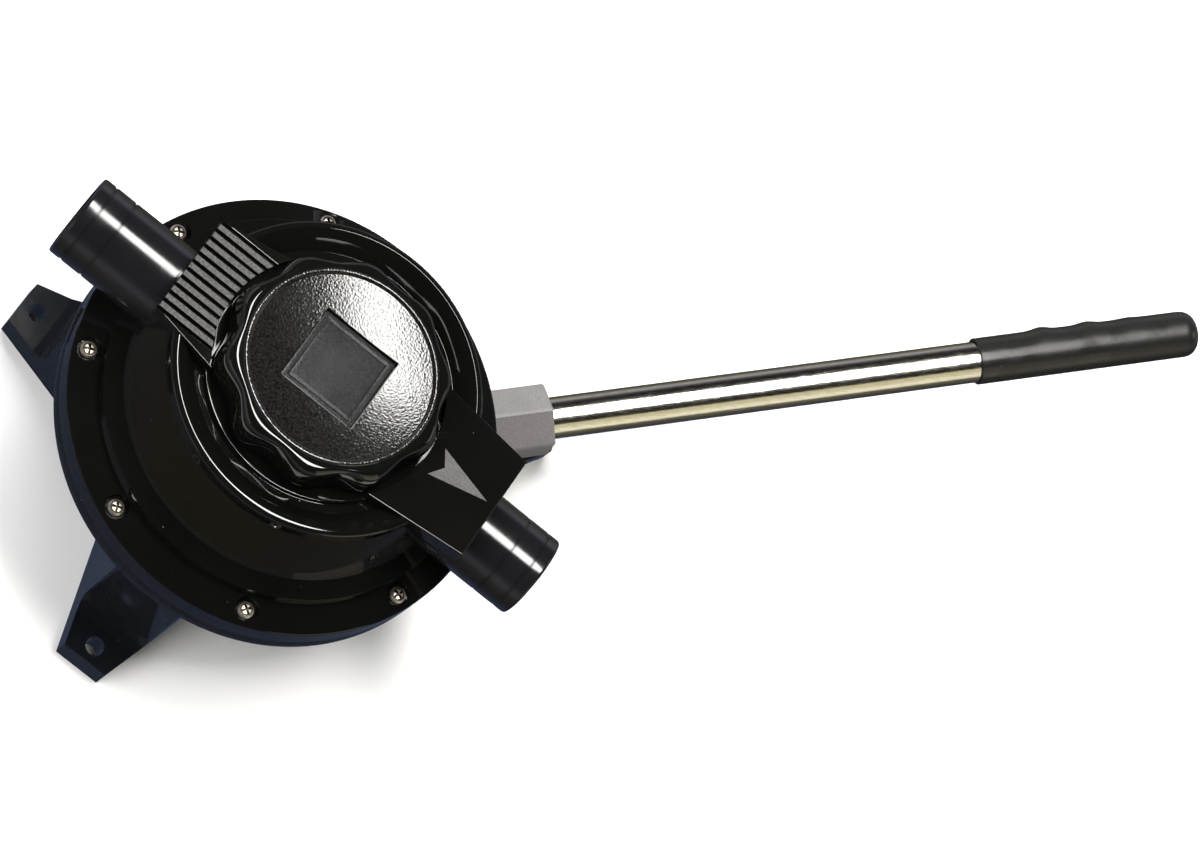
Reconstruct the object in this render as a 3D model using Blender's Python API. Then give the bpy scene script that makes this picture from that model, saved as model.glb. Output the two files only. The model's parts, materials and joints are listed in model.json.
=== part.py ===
"""Manual bilge pump: a diaphragm pump on a three-footed frame, worked by a long lever.

Metres, +Z up. Z is the pump's axis, from the mounting plane through the clamp knob, the origin is the
middle of the mounting plane, and the lever points along +X. The hose tails lie in line, 45 degrees
round from the lever, and each piece is drawn as it sits with the lever in the middle of its stroke.
"""

import math

import bmesh
import bpy
from mathutils import Matrix, Vector

# Clearance between pieces that seat on each other
GAP = 0.0003

# Facets round a full turn
LARGE_ROUND = 40
MEDIUM_ROUND = 24
SMALL_ROUND = 16
SCREW_ROUND = 10
LOBE_ROUND = 5

# Feet and frame
FOOT_AZIMUTH = 135.0
FOOT_PROJECTION = 0.017
FOOT_TIP_HALF_WIDTH = 0.0108
FOOT_FLARE = 0.29
FOOT_THICKNESS = 0.0125
FOOT_HOLE_RADIUS = 0.0042
FOOT_HOLE_INSET = 0.0078
FRONT_FOOT_PROJECTION = 0.061
FRONT_FOOT_TIP_HALF_WIDTH = 0.0056
FRONT_FOOT_TIP_ROUND = 0.0018
FRONT_FOOT_THICKNESS = 0.010
FRONT_FOOT_HOLE_INSET = 0.0085
FLOOR_THICKNESS = 0.005
FLOOR_LAP = 0.002
DRAIN_RADIUS = 0.008
DRAIN_INSET = 0.019
LEG_SETBACK = 0.005
LEG_DEPTH = 0.041
LEG_WALL = 0.004
LEG_SLOPE_RUN = 0.010
LEG_SLOPE_DROP = 0.0295
LEG_FLOOR_STEP = 0.0012
LEG_FOOT_FILLET = 0.006
CHEEK_WALL = 0.0055
PIVOT_BOSS_RADIUS = 0.0095
PIVOT_BOSS_HEIGHT = 0.0015

# Ring that carries the diaphragm
RING_BORE_RADIUS = 0.079
RING_LIP_HEIGHT = 0.0072
RING_FOOT_DEPTH = 0.0045
RING_STEP = 0.0055
RING_LAP = 0.001

# Pump body
FLANGE_THICKNESS = 0.0121
FLANGE_CROWN = 0.0028
FLANGE_ROUND = 0.0012
SHOULDER_FILLET = 0.0024
SHOULDER_WALL = 0.0046
SHOULDER_HEIGHT = 0.0110
SHELF_WIDTH = 0.0079
CONE_RUN = 0.0089
BODY_WALL = 0.0043
CHAMBER_DROP = 0.0068
CHAMBER_LIP = 0.004
VALVE_FLOOR_THICKNESS = 0.004
PARTITION_HALF = 0.004
STUD_BOSS_RADIUS = 0.009

# Hose tails, 45 degrees round from the lever
TAIL_AZIMUTH = -45.0
TAIL_RADIUS = 0.019
TAIL_WALL = 0.0035
TAIL_BORE_LIFT = 0.0005
TAIL_COVER = 0.0003
TAIL_PROJECTION = 0.0255
TAIL_CHAMFER = 0.0012
TAIL_BORE_START = 0.050
TAIL_WEB_HALF_WIDTH = 0.009
TAIL_WEB_INSET = 0.0075

# Body screws
SCREW_COUNT = 8
SCREW_PHASE = 22.5
SCREW_RADIUS = 0.002
SCREW_WEB = 0.0005
SCREW_EDGE = 0.0067
SCREW_HEAD_RADIUS = 0.0037
SCREW_HEAD_HEIGHT = 0.0024
SCREW_LENGTH = 0.017
SCREW_RECESS_MARGIN = 0.0015
SCREW_SEAT_DEPTH = 0.0018

# Valves
VALVE_HOLE_RADIUS = 0.015
FLAP_SEAT = 0.0035
FLAP_THICKNESS = 0.0025
FLAP_TONGUE = 0.005
FLAP_TONGUE_HALF_WIDTH = 0.011
RETAINER_HEEL = 0.0036
RETAINER_THICKNESS = 0.003
RETAINER_LIFT = 0.0008
RETAINER_LIP = 0.0022

# Inspection cover
SEAL_THICKNESS = 0.0011
SEAL_EDGE = 0.0006
COVER_LIP = 0.0015
COVER_RIM_HEIGHT = 0.0075
COVER_FLOOR_HEIGHT = 0.0037
COVER_DISH_HEIGHT = 0.0019
COVER_DISH_WIDTH = 0.0149
COVER_RIM_SLOPE = 0.0102
SPIGOT_DEPTH = 0.0038
COLLAR_WIDTH = 0.0019
COLLAR_HEIGHT = 0.0011
BAR_HEIGHT = 0.0082
BAR_RIBBED_OVERHANG = 0.0057
BAR_ARROW_OVERHANG = 0.0192
BAR_END_HALF_WIDTH = 0.0248
BAR_ARROW_HALF_WIDTH = 0.0262
BAR_WAIST_HALF_WIDTH = 0.0312
BAR_WAIST_INSET = 0.0273
BAR_EDGE = 0.0006
RIB_COUNT = 11
RIB_PITCH = 0.0044
RIB_GROOVE_WIDTH = 0.0018
RIB_GROOVE_DEPTH = 0.0016

# Clamp stud and knob
STUD_RADIUS = 0.004
STUD_EMBED = 0.0057
STUD_SHORT = 0.0009
STUD_CHAMFER = 0.0008
WASHER_RADIUS = 0.010
WASHER_THICKNESS = 0.0014
KNOB_LOBES = 10
KNOB_LOBE_PHASE = -10.0
KNOB_LOBE_DEPTH = 0.0019
KNOB_CLEARANCE = 0.0022
KNOB_LIFT = 0.0026
KNOB_HEIGHT = 0.0167
KNOB_SHOULDER_WIDTH = 0.0058
KNOB_SHOULDER_DROP = 0.0085
KNOB_RING_WIDTH = 0.0012
KNOB_RING_HEIGHT = 0.0017
KNOB_CROWN = 0.0020
KNOB_WALL = 0.0034
KNOB_HUB_RADIUS = 0.013
KNOB_PANEL_SIDE = 0.0373
KNOB_PANEL_DEPTH = 0.0010
INSERT_RADIUS = 0.007
INSERT_LENGTH = 0.0115

# Diaphragm and its plates, at mid-stroke
DIAPHRAGM_THICKNESS = 0.0022
DIAPHRAGM_BEAD = 0.0030
DIAPHRAGM_RIM_WIDTH = 0.0072
DIAPHRAGM_RIM_SLACK = 0.0002
DIAPHRAGM_DROP = 0.0207
CONVOLUTION_WIDTH = 0.043
PLATE_THICKNESS = 0.004
PLATE_ROUND = 0.0018
PLATE_STUD_RADIUS = 0.004
PLATE_STUD_END = 0.0018
PLATE_STUD_WEB = 0.002
PLATE_NUT_RADIUS = 0.0075
PLATE_NUT_HEIGHT = 0.0065
PLATE_WASHER_RADIUS = 0.009
PLATE_WASHER_THICKNESS = 0.0012
LUG_HALF_WIDTH = 0.009
LUG_LENGTH = 0.0129
DRIVE_PIN_LIFT = 0.004
DRIVE_PIN_RADIUS = 0.004
CLIP_THICKNESS = 0.0010
CLIP_WIDTH = 0.0028
CLIP_GROOVE_DEPTH = 0.0009
PIN_END = 0.0016
PIN_CHAMFER = 0.0005

# Rocker and lever
PIVOT_INSET = 0.023
PIVOT_PIN_RADIUS = 0.005
PIVOT_HEAD_WIDTH = 0.003
PIVOT_HEAD_THICKNESS = 0.003
BUSH_THICKNESS = 0.0024
BUSH_INSET = 0.002
HUB_RADIUS = 0.014
LEVER_TILT = 10.9
SOCKET_RADIUS = 0.0164
SOCKET_CLEARANCE = 0.0053
SOCKET_REACH = 0.072
SOCKET_BORE_DEPTH = 0.045
SOCKET_EDGE = 0.0008
FORK_INNER = 0.0063
FORK_WALL = 0.005
FORK_EYE_WALL = 0.0045
FORK_SLOT_TRAVEL = 0.0040
FORK_SLOT_LEAD = 0.0005
FORK_SLOT_CLEARANCE = 0.0005
ARM_RISE = 0.0058
ARM_DROP = 0.0062
TUBE_RADIUS = 0.0093
TUBE_WALL = 0.0015
TUBE_LENGTH = 0.3447
GRIP_LENGTH = 0.1067
GRIP_END_WALL = 0.0079
GRIP_WALL = 0.0008
GRIP_WAVE = 0.0010
GRIP_WAVE_PITCH = 0.0223
GRIP_WAVE_LEAD = 0.0331
GRIP_END_ROUND = 0.006
GRIP_STEPS = 16

# Radii, from the diaphragm's opening outwards and then inwards over the body to the knob
REBATE_RADIUS = RING_BORE_RADIUS + DIAPHRAGM_RIM_WIDTH + GAP
SCREW_CIRCLE = REBATE_RADIUS + SCREW_WEB + SCREW_RADIUS + GAP
SCREW_RECESS_RADIUS = SCREW_HEAD_RADIUS + SCREW_RECESS_MARGIN
FLANGE_RADIUS = SCREW_CIRCLE + SCREW_EDGE
SHOULDER_RADIUS = RING_BORE_RADIUS + SHOULDER_WALL
CONE_FOOT_RADIUS = SHOULDER_RADIUS - SHELF_WIDTH
NECK_RADIUS = CONE_FOOT_RADIUS - CONE_RUN
NECK_BORE_RADIUS = NECK_RADIUS - BODY_WALL
COVER_RADIUS = NECK_RADIUS + COVER_LIP
COLLAR_RADIUS = COVER_RADIUS - COVER_DISH_WIDTH
KNOB_WELL_RADIUS = COLLAR_RADIUS - COLLAR_WIDTH
KNOB_RADIUS = KNOB_WELL_RADIUS - KNOB_CLEARANCE - KNOB_LOBE_DEPTH
KNOB_RING_RADIUS = KNOB_RADIUS - KNOB_SHOULDER_WIDTH
PLATE_RADIUS = RING_BORE_RADIUS - CONVOLUTION_WIDTH
STUD_CLEARANCE = STUD_RADIUS + 2 * GAP
TAIL_BORE_RADIUS = TAIL_RADIUS - TAIL_WALL
GRIP_BORE_RADIUS = TUBE_RADIUS + GAP
GRIP_RADIUS = GRIP_BORE_RADIUS + GRIP_WALL

# Reaches from the pump's axis
LEG_FACE_RADIUS = FLANGE_RADIUS - LEG_SETBACK
LEG_INNER_RADIUS = LEG_FACE_RADIUS - LEG_DEPTH
FLOOR_RADIUS = LEG_INNER_RADIUS + FLOOR_LAP
FOOT_REACH = FLANGE_RADIUS + FOOT_PROJECTION
FRONT_FOOT_REACH = FLANGE_RADIUS + FRONT_FOOT_PROJECTION
TAIL_REACH = FLANGE_RADIUS + TAIL_PROJECTION
FLAP_RADIUS = VALVE_HOLE_RADIUS + FLAP_SEAT
FLAP_HINGE_OFFSET = STUD_BOSS_RADIUS + RETAINER_HEEL + 3 * GAP
VALVE_OFFSET = FLAP_HINGE_OFFSET + FLAP_TONGUE + FLAP_RADIUS
BAR_RIBBED_REACH = COVER_RADIUS + BAR_RIBBED_OVERHANG
BAR_ARROW_REACH = COVER_RADIUS + BAR_ARROW_OVERHANG
BAR_WAIST_REACH = COVER_RADIUS - BAR_WAIST_INSET
PIVOT_X = LEG_FACE_RADIUS - PIVOT_INSET

# Widths across the lever
HEX_FLAT = math.cos(math.radians(30.0))
HUB_HALF_WIDTH = SOCKET_RADIUS * HEX_FLAT + GAP
CHEEK_INNER = HUB_HALF_WIDTH + BUSH_THICKNESS + 2 * GAP
CHEEK_OUTER = CHEEK_INNER + CHEEK_WALL
LUG_HALF_THICKNESS = FORK_INNER - 2 * GAP
FORK_EYE_RADIUS = DRIVE_PIN_RADIUS + FORK_SLOT_CLEARANCE + FORK_EYE_WALL

# Heights, from the mounting plane up
PIVOT_Z = FRONT_FOOT_THICKNESS + SOCKET_RADIUS + SOCKET_CLEARANCE
DRIVE_PIN_Z = PIVOT_Z + DRIVE_PIN_LIFT
PLATE_LOW_Z = DRIVE_PIN_Z + LUG_LENGTH
DIAPHRAGM_MID_Z = PLATE_LOW_Z + PLATE_THICKNESS + GAP + DIAPHRAGM_THICKNESS / 2
RING_TOP_Z = DIAPHRAGM_MID_Z + DIAPHRAGM_DROP
RING_LIP_Z = RING_TOP_Z - RING_LIP_HEIGHT
RING_FOOT_Z = RING_LIP_Z - RING_FOOT_DEPTH
LEG_SHOULDER_Z = RING_LIP_Z - LEG_SLOPE_DROP
BODY_Z = RING_TOP_Z + GAP
FLANGE_EDGE_Z = BODY_Z + FLANGE_THICKNESS
SHOULDER_Z = FLANGE_EDGE_Z + SHOULDER_HEIGHT
CHAMBER_Z = SHOULDER_Z - CHAMBER_DROP
VALVE_FLOOR_Z = CHAMBER_Z + VALVE_FLOOR_THICKNESS
TAIL_Z = VALVE_FLOOR_Z + TAIL_BORE_LIFT + TAIL_BORE_RADIUS
NECK_Z = TAIL_Z + TAIL_RADIUS + TAIL_COVER
SEAL_Z = NECK_Z + GAP
COVER_SEAT_Z = SEAL_Z + SEAL_THICKNESS + GAP
COVER_FLOOR_Z = COVER_SEAT_Z + COVER_FLOOR_HEIGHT
COVER_DISH_Z = COVER_SEAT_Z + COVER_DISH_HEIGHT
COVER_RIM_Z = COVER_SEAT_Z + COVER_RIM_HEIGHT
BAR_TOP_Z = COVER_SEAT_Z + BAR_HEIGHT
KNOB_HUB_Z = COVER_FLOOR_Z + WASHER_THICKNESS + 2 * GAP
KNOB_SKIRT_Z = COVER_FLOOR_Z + KNOB_LIFT
KNOB_FACE_Z = KNOB_SKIRT_Z + KNOB_HEIGHT
STUD_FOOT_Z = VALVE_FLOOR_Z + STUD_EMBED
STUD_TOP_Z = KNOB_HUB_Z + INSERT_LENGTH - STUD_SHORT

# Along the lever, from the pivot
TUBE_START = SOCKET_REACH - SOCKET_BORE_DEPTH + GAP
TUBE_END = TUBE_START + TUBE_LENGTH
GRIP_END = TUBE_END + GAP + GRIP_END_WALL
GRIP_START = GRIP_END - GRIP_LENGTH
GRIP_WAVE_START = GRIP_START + GRIP_WAVE_LEAD
PIVOT = Vector((PIVOT_X, 0.0, PIVOT_Z))

# How far a cutter runs past the face that it opens
CUT_PAST = 0.010


def make_material(name, colour, roughness, metallic=0.0):
    material = bpy.data.materials.new(name)
    material.use_nodes = True
    shader = material.node_tree.nodes["Principled BSDF"]
    shader.inputs["Base Color"].default_value = (*colour, 1.0)
    shader.inputs["Roughness"].default_value = roughness
    shader.inputs["Metallic"].default_value = metallic
    return material


def clear_scene():
    for thing in list(bpy.data.objects):
        bpy.data.objects.remove(thing, do_unlink=True)


# Mesh builders. Each returns a closed bmesh about its own origin.


def finish_mesh(mesh):
    bmesh.ops.remove_doubles(mesh, verts=mesh.verts, dist=1e-6)
    bmesh.ops.dissolve_degenerate(mesh, edges=mesh.edges, dist=1e-6)
    bmesh.ops.recalc_face_normals(mesh, faces=mesh.faces)
    return mesh


def turned(profile, segments):
    """Solid of revolution about Z. The profile lists (radius, height) points round the section.

    Where it starts and ends on the axis, the flat ends come out as one face each. The facets are turned
    by half a step, so that X and Y pass through the middle of one.
    """
    mesh = bmesh.new()
    across = math.cos(math.pi / segments)
    along = math.sin(math.pi / segments)
    points = [mesh.verts.new((radius * across, radius * along, height)) for radius, height in profile]
    pairs = list(zip(points, points[1:] + points[:1]))
    if profile[0][0] == 0.0 and profile[-1][0] == 0.0:
        pairs.pop()
    edges = [mesh.edges.new(pair) for pair in pairs]
    turn = 2 * math.pi
    bmesh.ops.spin(
        mesh, geom=points + edges, cent=(0, 0, 0), axis=(0, 0, 1), angle=turn, steps=segments, use_merge=True
    )
    finish_mesh(mesh)
    poles = [corner for corner in mesh.verts if corner.co.xy.length < 1e-6]
    bmesh.ops.dissolve_verts(mesh, verts=poles)
    return mesh


def disc(radius, low, high, segments):
    return turned([(0.0, low), (radius, low), (radius, high), (0.0, high)], segments)


def tube(inner, outer, low, high, segments):
    return turned([(inner, low), (outer, low), (outer, high), (inner, high)], segments)


def prism(outline, low, high):
    """The outline, a list of (x, y) points, extruded from one height to another."""
    mesh = bmesh.new()
    face = mesh.faces.new([mesh.verts.new((x, y, low)) for x, y in outline])
    raised = bmesh.ops.extrude_face_region(mesh, geom=[face], use_keep_orig=True)
    corners = [item for item in raised["geom"] if isinstance(item, bmesh.types.BMVert)]
    bmesh.ops.translate(mesh, verts=corners, vec=(0.0, 0.0, high - low))
    return finish_mesh(mesh)


def box(low, high):
    outline = [(low[0], low[1]), (high[0], low[1]), (high[0], high[1]), (low[0], high[1])]
    return prism(outline, low[2], high[2])


def wedge(profile, half_width):
    """A side view of (x, z) points, as wide at each x as half_width says."""
    mesh = bmesh.new()
    left = [mesh.verts.new((x, -half_width(x), z)) for x, z in profile]
    right = [mesh.verts.new((x, half_width(x), z)) for x, z in profile]
    mesh.faces.new(left)
    mesh.faces.new(list(reversed(right)))
    for i in range(len(profile)):
        j = (i + 1) % len(profile)
        mesh.faces.new((left[i], left[j], right[j], right[i]))
    return finish_mesh(mesh)


def loft(rings):
    """Skin over rings of points, each ring as long as the others or a single pole point."""
    mesh = bmesh.new()
    loops = [[mesh.verts.new(point) for point in ring] for ring in rings]
    for first, second in zip(loops, loops[1:]):
        count = max(len(first), len(second))
        for i in range(count):
            j = (i + 1) % count
            if len(first) == 1:
                mesh.faces.new((first[0], second[j], second[i]))
            elif len(second) == 1:
                mesh.faces.new((first[i], first[j], second[0]))
            else:
                mesh.faces.new((first[i], first[j], second[j], second[i]))
    return finish_mesh(mesh)


def moved(mesh, matrix):
    bmesh.ops.transform(mesh, matrix=matrix, verts=mesh.verts)
    return mesh


def merged(meshes):
    """Several closed meshes that don't touch, as one."""
    whole = bmesh.new()
    for mesh in meshes:
        scratch = bpy.data.meshes.new("scratch")
        mesh.to_mesh(scratch)
        mesh.free()
        whole.from_mesh(scratch)
        bpy.data.meshes.remove(scratch)
    return whole


def along_y(mesh):
    """Lays a piece built about Z down, so that its axis is Y."""
    return moved(mesh, Matrix.Rotation(math.radians(-90), 4, "X"))


def along_x(mesh):
    return moved(mesh, Matrix.Rotation(math.radians(90), 4, "Y"))


def side_prism(outline, low, high):
    """An outline of (x, z) points, extruded along Y."""
    mesh = prism([(x, z) for x, z in outline], low, high)
    return moved(mesh, Matrix.Rotation(math.radians(90), 4, "X") @ Matrix.Scale(-1, 4, (0, 0, 1)))


def arc(centre, radius, start, end, steps):
    angles = [math.radians(start + (end - start) * i / steps) for i in range(steps + 1)]
    return [(centre[0] + radius * math.cos(a), centre[1] + radius * math.sin(a)) for a in angles]


def azimuth(degrees):
    return Matrix.Rotation(math.radians(degrees), 4, "Z")


# Scene objects


def place(name, mesh, material, location=(0.0, 0.0, 0.0), crease=30.0):
    """Turns a mesh built in world positions into an object whose origin is the given location."""
    bmesh.ops.translate(mesh, verts=mesh.verts, vec=-Vector(location))
    data = bpy.data.meshes.new(name)
    bmesh.ops.recalc_face_normals(mesh, faces=mesh.faces)
    mesh.to_mesh(data)
    mesh.free()
    data.shade_smooth()
    data.set_sharp_from_angle(angle=math.radians(crease))
    thing = bpy.data.objects.new(name, data)
    thing.location = location
    bpy.context.scene.collection.objects.link(thing)
    if material is not None:
        data.materials.append(material)
    return thing


def helper(name, mesh):
    """A cutter or a piece to be joined on: it isn't part of the pump by itself."""
    thing = place(name, mesh, None)
    thing.hide_render = True
    thing.display_type = "WIRE"
    return thing


def combine(target, operation, name, mesh):
    tool = mesh if isinstance(mesh, bpy.types.Object) else helper(name, mesh)
    modifier = target.modifiers.new(name, "BOOLEAN")
    modifier.operation = operation
    modifier.solver = "EXACT"
    modifier.object = tool
    return tool


def join(target, name, mesh):
    return combine(target, "UNION", name, mesh)


def cut(target, name, mesh):
    return combine(target, "DIFFERENCE", name, mesh)


def edge_round(target, width, segments=1):
    modifier = target.modifiers.new("edge_round", "BEVEL")
    modifier.width = width
    modifier.segments = segments
    modifier.limit_method = "ANGLE"
    modifier.angle_limit = math.radians(40)


# Frame


def foot_half_width(reach, tip):
    return lambda x: tip + FOOT_FLARE * (reach - x)


def rear_leg(direction):
    """One rear leg and its foot: a tapered moulding, hollow on the side towards the pump's axis."""
    width = foot_half_width(FOOT_REACH, FOOT_TIP_HALF_WIDTH)
    fillet = LEG_FOOT_FILLET
    side = [
        (LEG_INNER_RADIUS, 0.0),
        (FOOT_REACH, 0.0),
        (FOOT_REACH, FOOT_THICKNESS),
        (LEG_FACE_RADIUS + fillet, FOOT_THICKNESS),
        (LEG_FACE_RADIUS + 0.3 * fillet, FOOT_THICKNESS + 0.3 * fillet),
        (LEG_FACE_RADIUS, FOOT_THICKNESS + fillet),
        (LEG_FACE_RADIUS, RING_LIP_Z),
        (RING_BORE_RADIUS + RING_LAP, RING_LIP_Z),
        (LEG_INNER_RADIUS + LEG_SLOPE_RUN, LEG_SHOULDER_Z),
        (LEG_INNER_RADIUS, FOOT_THICKNESS),
    ]
    return moved(wedge(side, width), azimuth(direction))


def rear_leg_hollow(direction):
    """The hollow stops short of the ring, so the leg stays whole round the top."""
    width = foot_half_width(FOOT_REACH, FOOT_TIP_HALF_WIDTH)
    inner = LEG_INNER_RADIUS - RING_LAP
    outer = LEG_FACE_RADIUS - LEG_WALL
    low = FLOOR_THICKNESS + LEG_FLOOR_STEP
    high = RING_FOOT_Z
    side = [(inner, low), (outer, low), (outer, high), (inner, high)]
    return moved(wedge(side, lambda x: width(x) - LEG_WALL), azimuth(direction))


def front_foot():
    """The long foot under the lever, which tapers from the cheeks to a rounded tip."""
    tip = FRONT_FOOT_TIP_HALF_WIDTH
    bulge = FRONT_FOOT_TIP_ROUND
    start = LEG_INNER_RADIUS - FLOOR_LAP
    outline = [
        (start, -CHEEK_OUTER),
        (LEG_FACE_RADIUS, -CHEEK_OUTER),
        (FRONT_FOOT_REACH - bulge, -tip),
        (FRONT_FOOT_REACH - 0.25 * bulge, -0.55 * tip),
        (FRONT_FOOT_REACH, 0.0),
        (FRONT_FOOT_REACH - 0.25 * bulge, 0.55 * tip),
        (FRONT_FOOT_REACH - bulge, tip),
        (LEG_FACE_RADIUS, CHEEK_OUTER),
        (start, CHEEK_OUTER),
    ]
    return prism(outline, 0.0, FRONT_FOOT_THICKNESS)


def cheeks():
    """The two walls that carry the pivot pin, before the lever's way is cut between them."""
    side = [
        (LEG_INNER_RADIUS, 0.0),
        (LEG_FACE_RADIUS, 0.0),
        (LEG_FACE_RADIUS, RING_LIP_Z),
        (RING_BORE_RADIUS + RING_LAP, RING_LIP_Z),
        (LEG_INNER_RADIUS + 0.6 * LEG_SLOPE_RUN, LEG_SHOULDER_Z + 0.4 * LEG_SLOPE_RUN),
        (LEG_INNER_RADIUS, FRONT_FOOT_THICKNESS),
    ]
    return wedge(side, lambda x: CHEEK_OUTER)


def foot_holes():
    rear = FOOT_REACH - FOOT_HOLE_INSET
    front = FRONT_FOOT_REACH - FRONT_FOOT_HOLE_INSET
    places = [(FOOT_AZIMUTH, rear), (-FOOT_AZIMUTH, rear), (0.0, front)]
    holes = []
    for direction, reach in places:
        hole = disc(FOOT_HOLE_RADIUS, -CUT_PAST, FOOT_THICKNESS + CUT_PAST, SMALL_ROUND)
        holes.append(moved(hole, azimuth(direction) @ Matrix.Translation((reach, 0.0, 0.0))))
    return merged(holes)


def drains():
    holes = []
    for direction in (90.0, 180.0, 270.0):
        hole = disc(DRAIN_RADIUS, -CUT_PAST, FLOOR_THICKNESS + CUT_PAST, SMALL_ROUND)
        spot = Matrix.Translation((FLOOR_RADIUS - DRAIN_INSET, 0.0, 0.0))
        holes.append(moved(hole, azimuth(direction) @ spot))
    return merged(holes)


def base_frame(material):
    profile = [
        (RING_BORE_RADIUS, RING_FOOT_Z),
        (FLANGE_RADIUS - RING_STEP, RING_FOOT_Z),
        (FLANGE_RADIUS - RING_STEP, RING_LIP_Z),
        (FLANGE_RADIUS - BAR_EDGE, RING_LIP_Z),
        (FLANGE_RADIUS, RING_LIP_Z + BAR_EDGE),
        (FLANGE_RADIUS, RING_TOP_Z),
        (REBATE_RADIUS, RING_TOP_Z),
        (REBATE_RADIUS, RING_TOP_Z - DIAPHRAGM_BEAD - GAP),
        (RING_BORE_RADIUS, RING_TOP_Z - DIAPHRAGM_BEAD - GAP),
    ]
    frame = place("base_frame", turned(profile, LARGE_ROUND), material)
    join(frame, "frame_floor", disc(FLOOR_RADIUS, 0.0, FLOOR_THICKNESS, LARGE_ROUND))
    legs = [rear_leg(FOOT_AZIMUTH), rear_leg(-FOOT_AZIMUTH)]
    join(frame, "frame_rear_legs", merged(legs))
    join(frame, "frame_cheeks", cheeks())
    join(frame, "frame_front_foot", front_foot())
    boss_end = CHEEK_OUTER + PIVOT_BOSS_HEIGHT
    boss = along_y(disc(PIVOT_BOSS_RADIUS, -boss_end, boss_end, SMALL_ROUND))
    join(frame, "frame_pivot_bosses", moved(boss, Matrix.Translation(PIVOT)))
    hollows = [rear_leg_hollow(FOOT_AZIMUTH), rear_leg_hollow(-FOOT_AZIMUTH)]
    cut(frame, "frame_leg_hollows", merged(hollows))
    way_low = (LEG_INNER_RADIUS - CUT_PAST, -CHEEK_INNER, FRONT_FOOT_THICKNESS)
    way_high = (LEG_FACE_RADIUS + CUT_PAST, CHEEK_INNER, RING_FOOT_Z)
    cut(frame, "frame_lever_way", box(way_low, way_high))
    bore_end = boss_end + CUT_PAST
    bore = along_y(disc(PIVOT_PIN_RADIUS + GAP, -bore_end, bore_end, SMALL_ROUND))
    cut(frame, "frame_pivot_bore", moved(bore, Matrix.Translation(PIVOT)))
    cut(frame, "frame_foot_holes", foot_holes())
    cut(frame, "frame_drains", drains())
    cut(frame, "frame_screw_holes", screw_holes(SCREW_RADIUS + GAP, screw_hole_foot(), RING_TOP_Z + CUT_PAST))
    return frame


# Body, hose tails and body screws


def screw_positions():
    step = 360.0 / SCREW_COUNT
    for i in range(SCREW_COUNT):
        yield azimuth(SCREW_PHASE + step * i) @ Matrix.Translation((SCREW_CIRCLE, 0.0, 0.0))


def screw_holes(radius, low, high):
    return merged([moved(disc(radius, low, high, SCREW_ROUND), spot) for spot in screw_positions()])


def flange_height(radius):
    """Height of the flange's sloping front face."""
    inner = SHOULDER_RADIUS + SHOULDER_FILLET
    outer = FLANGE_RADIUS - FLANGE_ROUND
    return FLANGE_EDGE_Z + FLANGE_CROWN * (outer - radius) / (outer - inner)


def body_profile():
    edge = FLANGE_EDGE_Z
    small = FLANGE_ROUND
    fillet = SHOULDER_FILLET
    crown = flange_height(SHOULDER_RADIUS + fillet)
    return [
        (0.0, BODY_Z),
        (FLANGE_RADIUS, BODY_Z),
        (FLANGE_RADIUS, edge - 0.8 * small),
        (FLANGE_RADIUS - 0.3 * small, edge - 0.2 * small),
        (FLANGE_RADIUS - small, edge),
        (SHOULDER_RADIUS + fillet, crown),
        (SHOULDER_RADIUS + 0.3 * fillet, crown + 0.3 * fillet),
        (SHOULDER_RADIUS, crown + 0.9 * fillet),
        (SHOULDER_RADIUS, SHOULDER_Z - 0.7 * fillet),
        (SHOULDER_RADIUS - 0.2 * fillet, SHOULDER_Z - 0.2 * fillet),
        (SHOULDER_RADIUS - 0.8 * fillet, SHOULDER_Z),
        (CONE_FOOT_RADIUS + 0.7 * fillet, SHOULDER_Z + 0.3 * fillet),
        (CONE_FOOT_RADIUS, SHOULDER_Z + 0.7 * fillet),
        (CONE_FOOT_RADIUS - 0.25 * fillet, SHOULDER_Z + 1.4 * fillet),
        (NECK_RADIUS + 0.3 * small, NECK_Z - 0.8 * small),
        (NECK_RADIUS - 0.7 * small, NECK_Z),
        (0.0, NECK_Z),
    ]


def tail_profile():
    """Both hose tails and the bar of material between them, as one turned piece along its axis."""
    flat = TAIL_RADIUS - TAIL_CHAMFER
    end = [(0.0, TAIL_REACH), (flat, TAIL_REACH), (TAIL_RADIUS, TAIL_REACH - TAIL_CHAMFER)]
    return end + [(radius, -height) for radius, height in reversed(end)]


def tail_webs():
    """Ribs that join the underside of each tail to the flange."""
    low = FLANGE_EDGE_Z - RING_LAP
    high = TAIL_Z - TAIL_RADIUS + TAIL_WALL
    webs = []
    for side in (-1, 1):
        inner = side * (SHOULDER_RADIUS - BODY_WALL)
        outer = side * (FLANGE_RADIUS - TAIL_WEB_INSET)
        ends = sorted((inner, outer))
        webs.append(box((ends[0], -TAIL_WEB_HALF_WIDTH, low), (ends[1], TAIL_WEB_HALF_WIDTH, high)))
    return moved(merged(webs), azimuth(TAIL_AZIMUTH))


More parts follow.
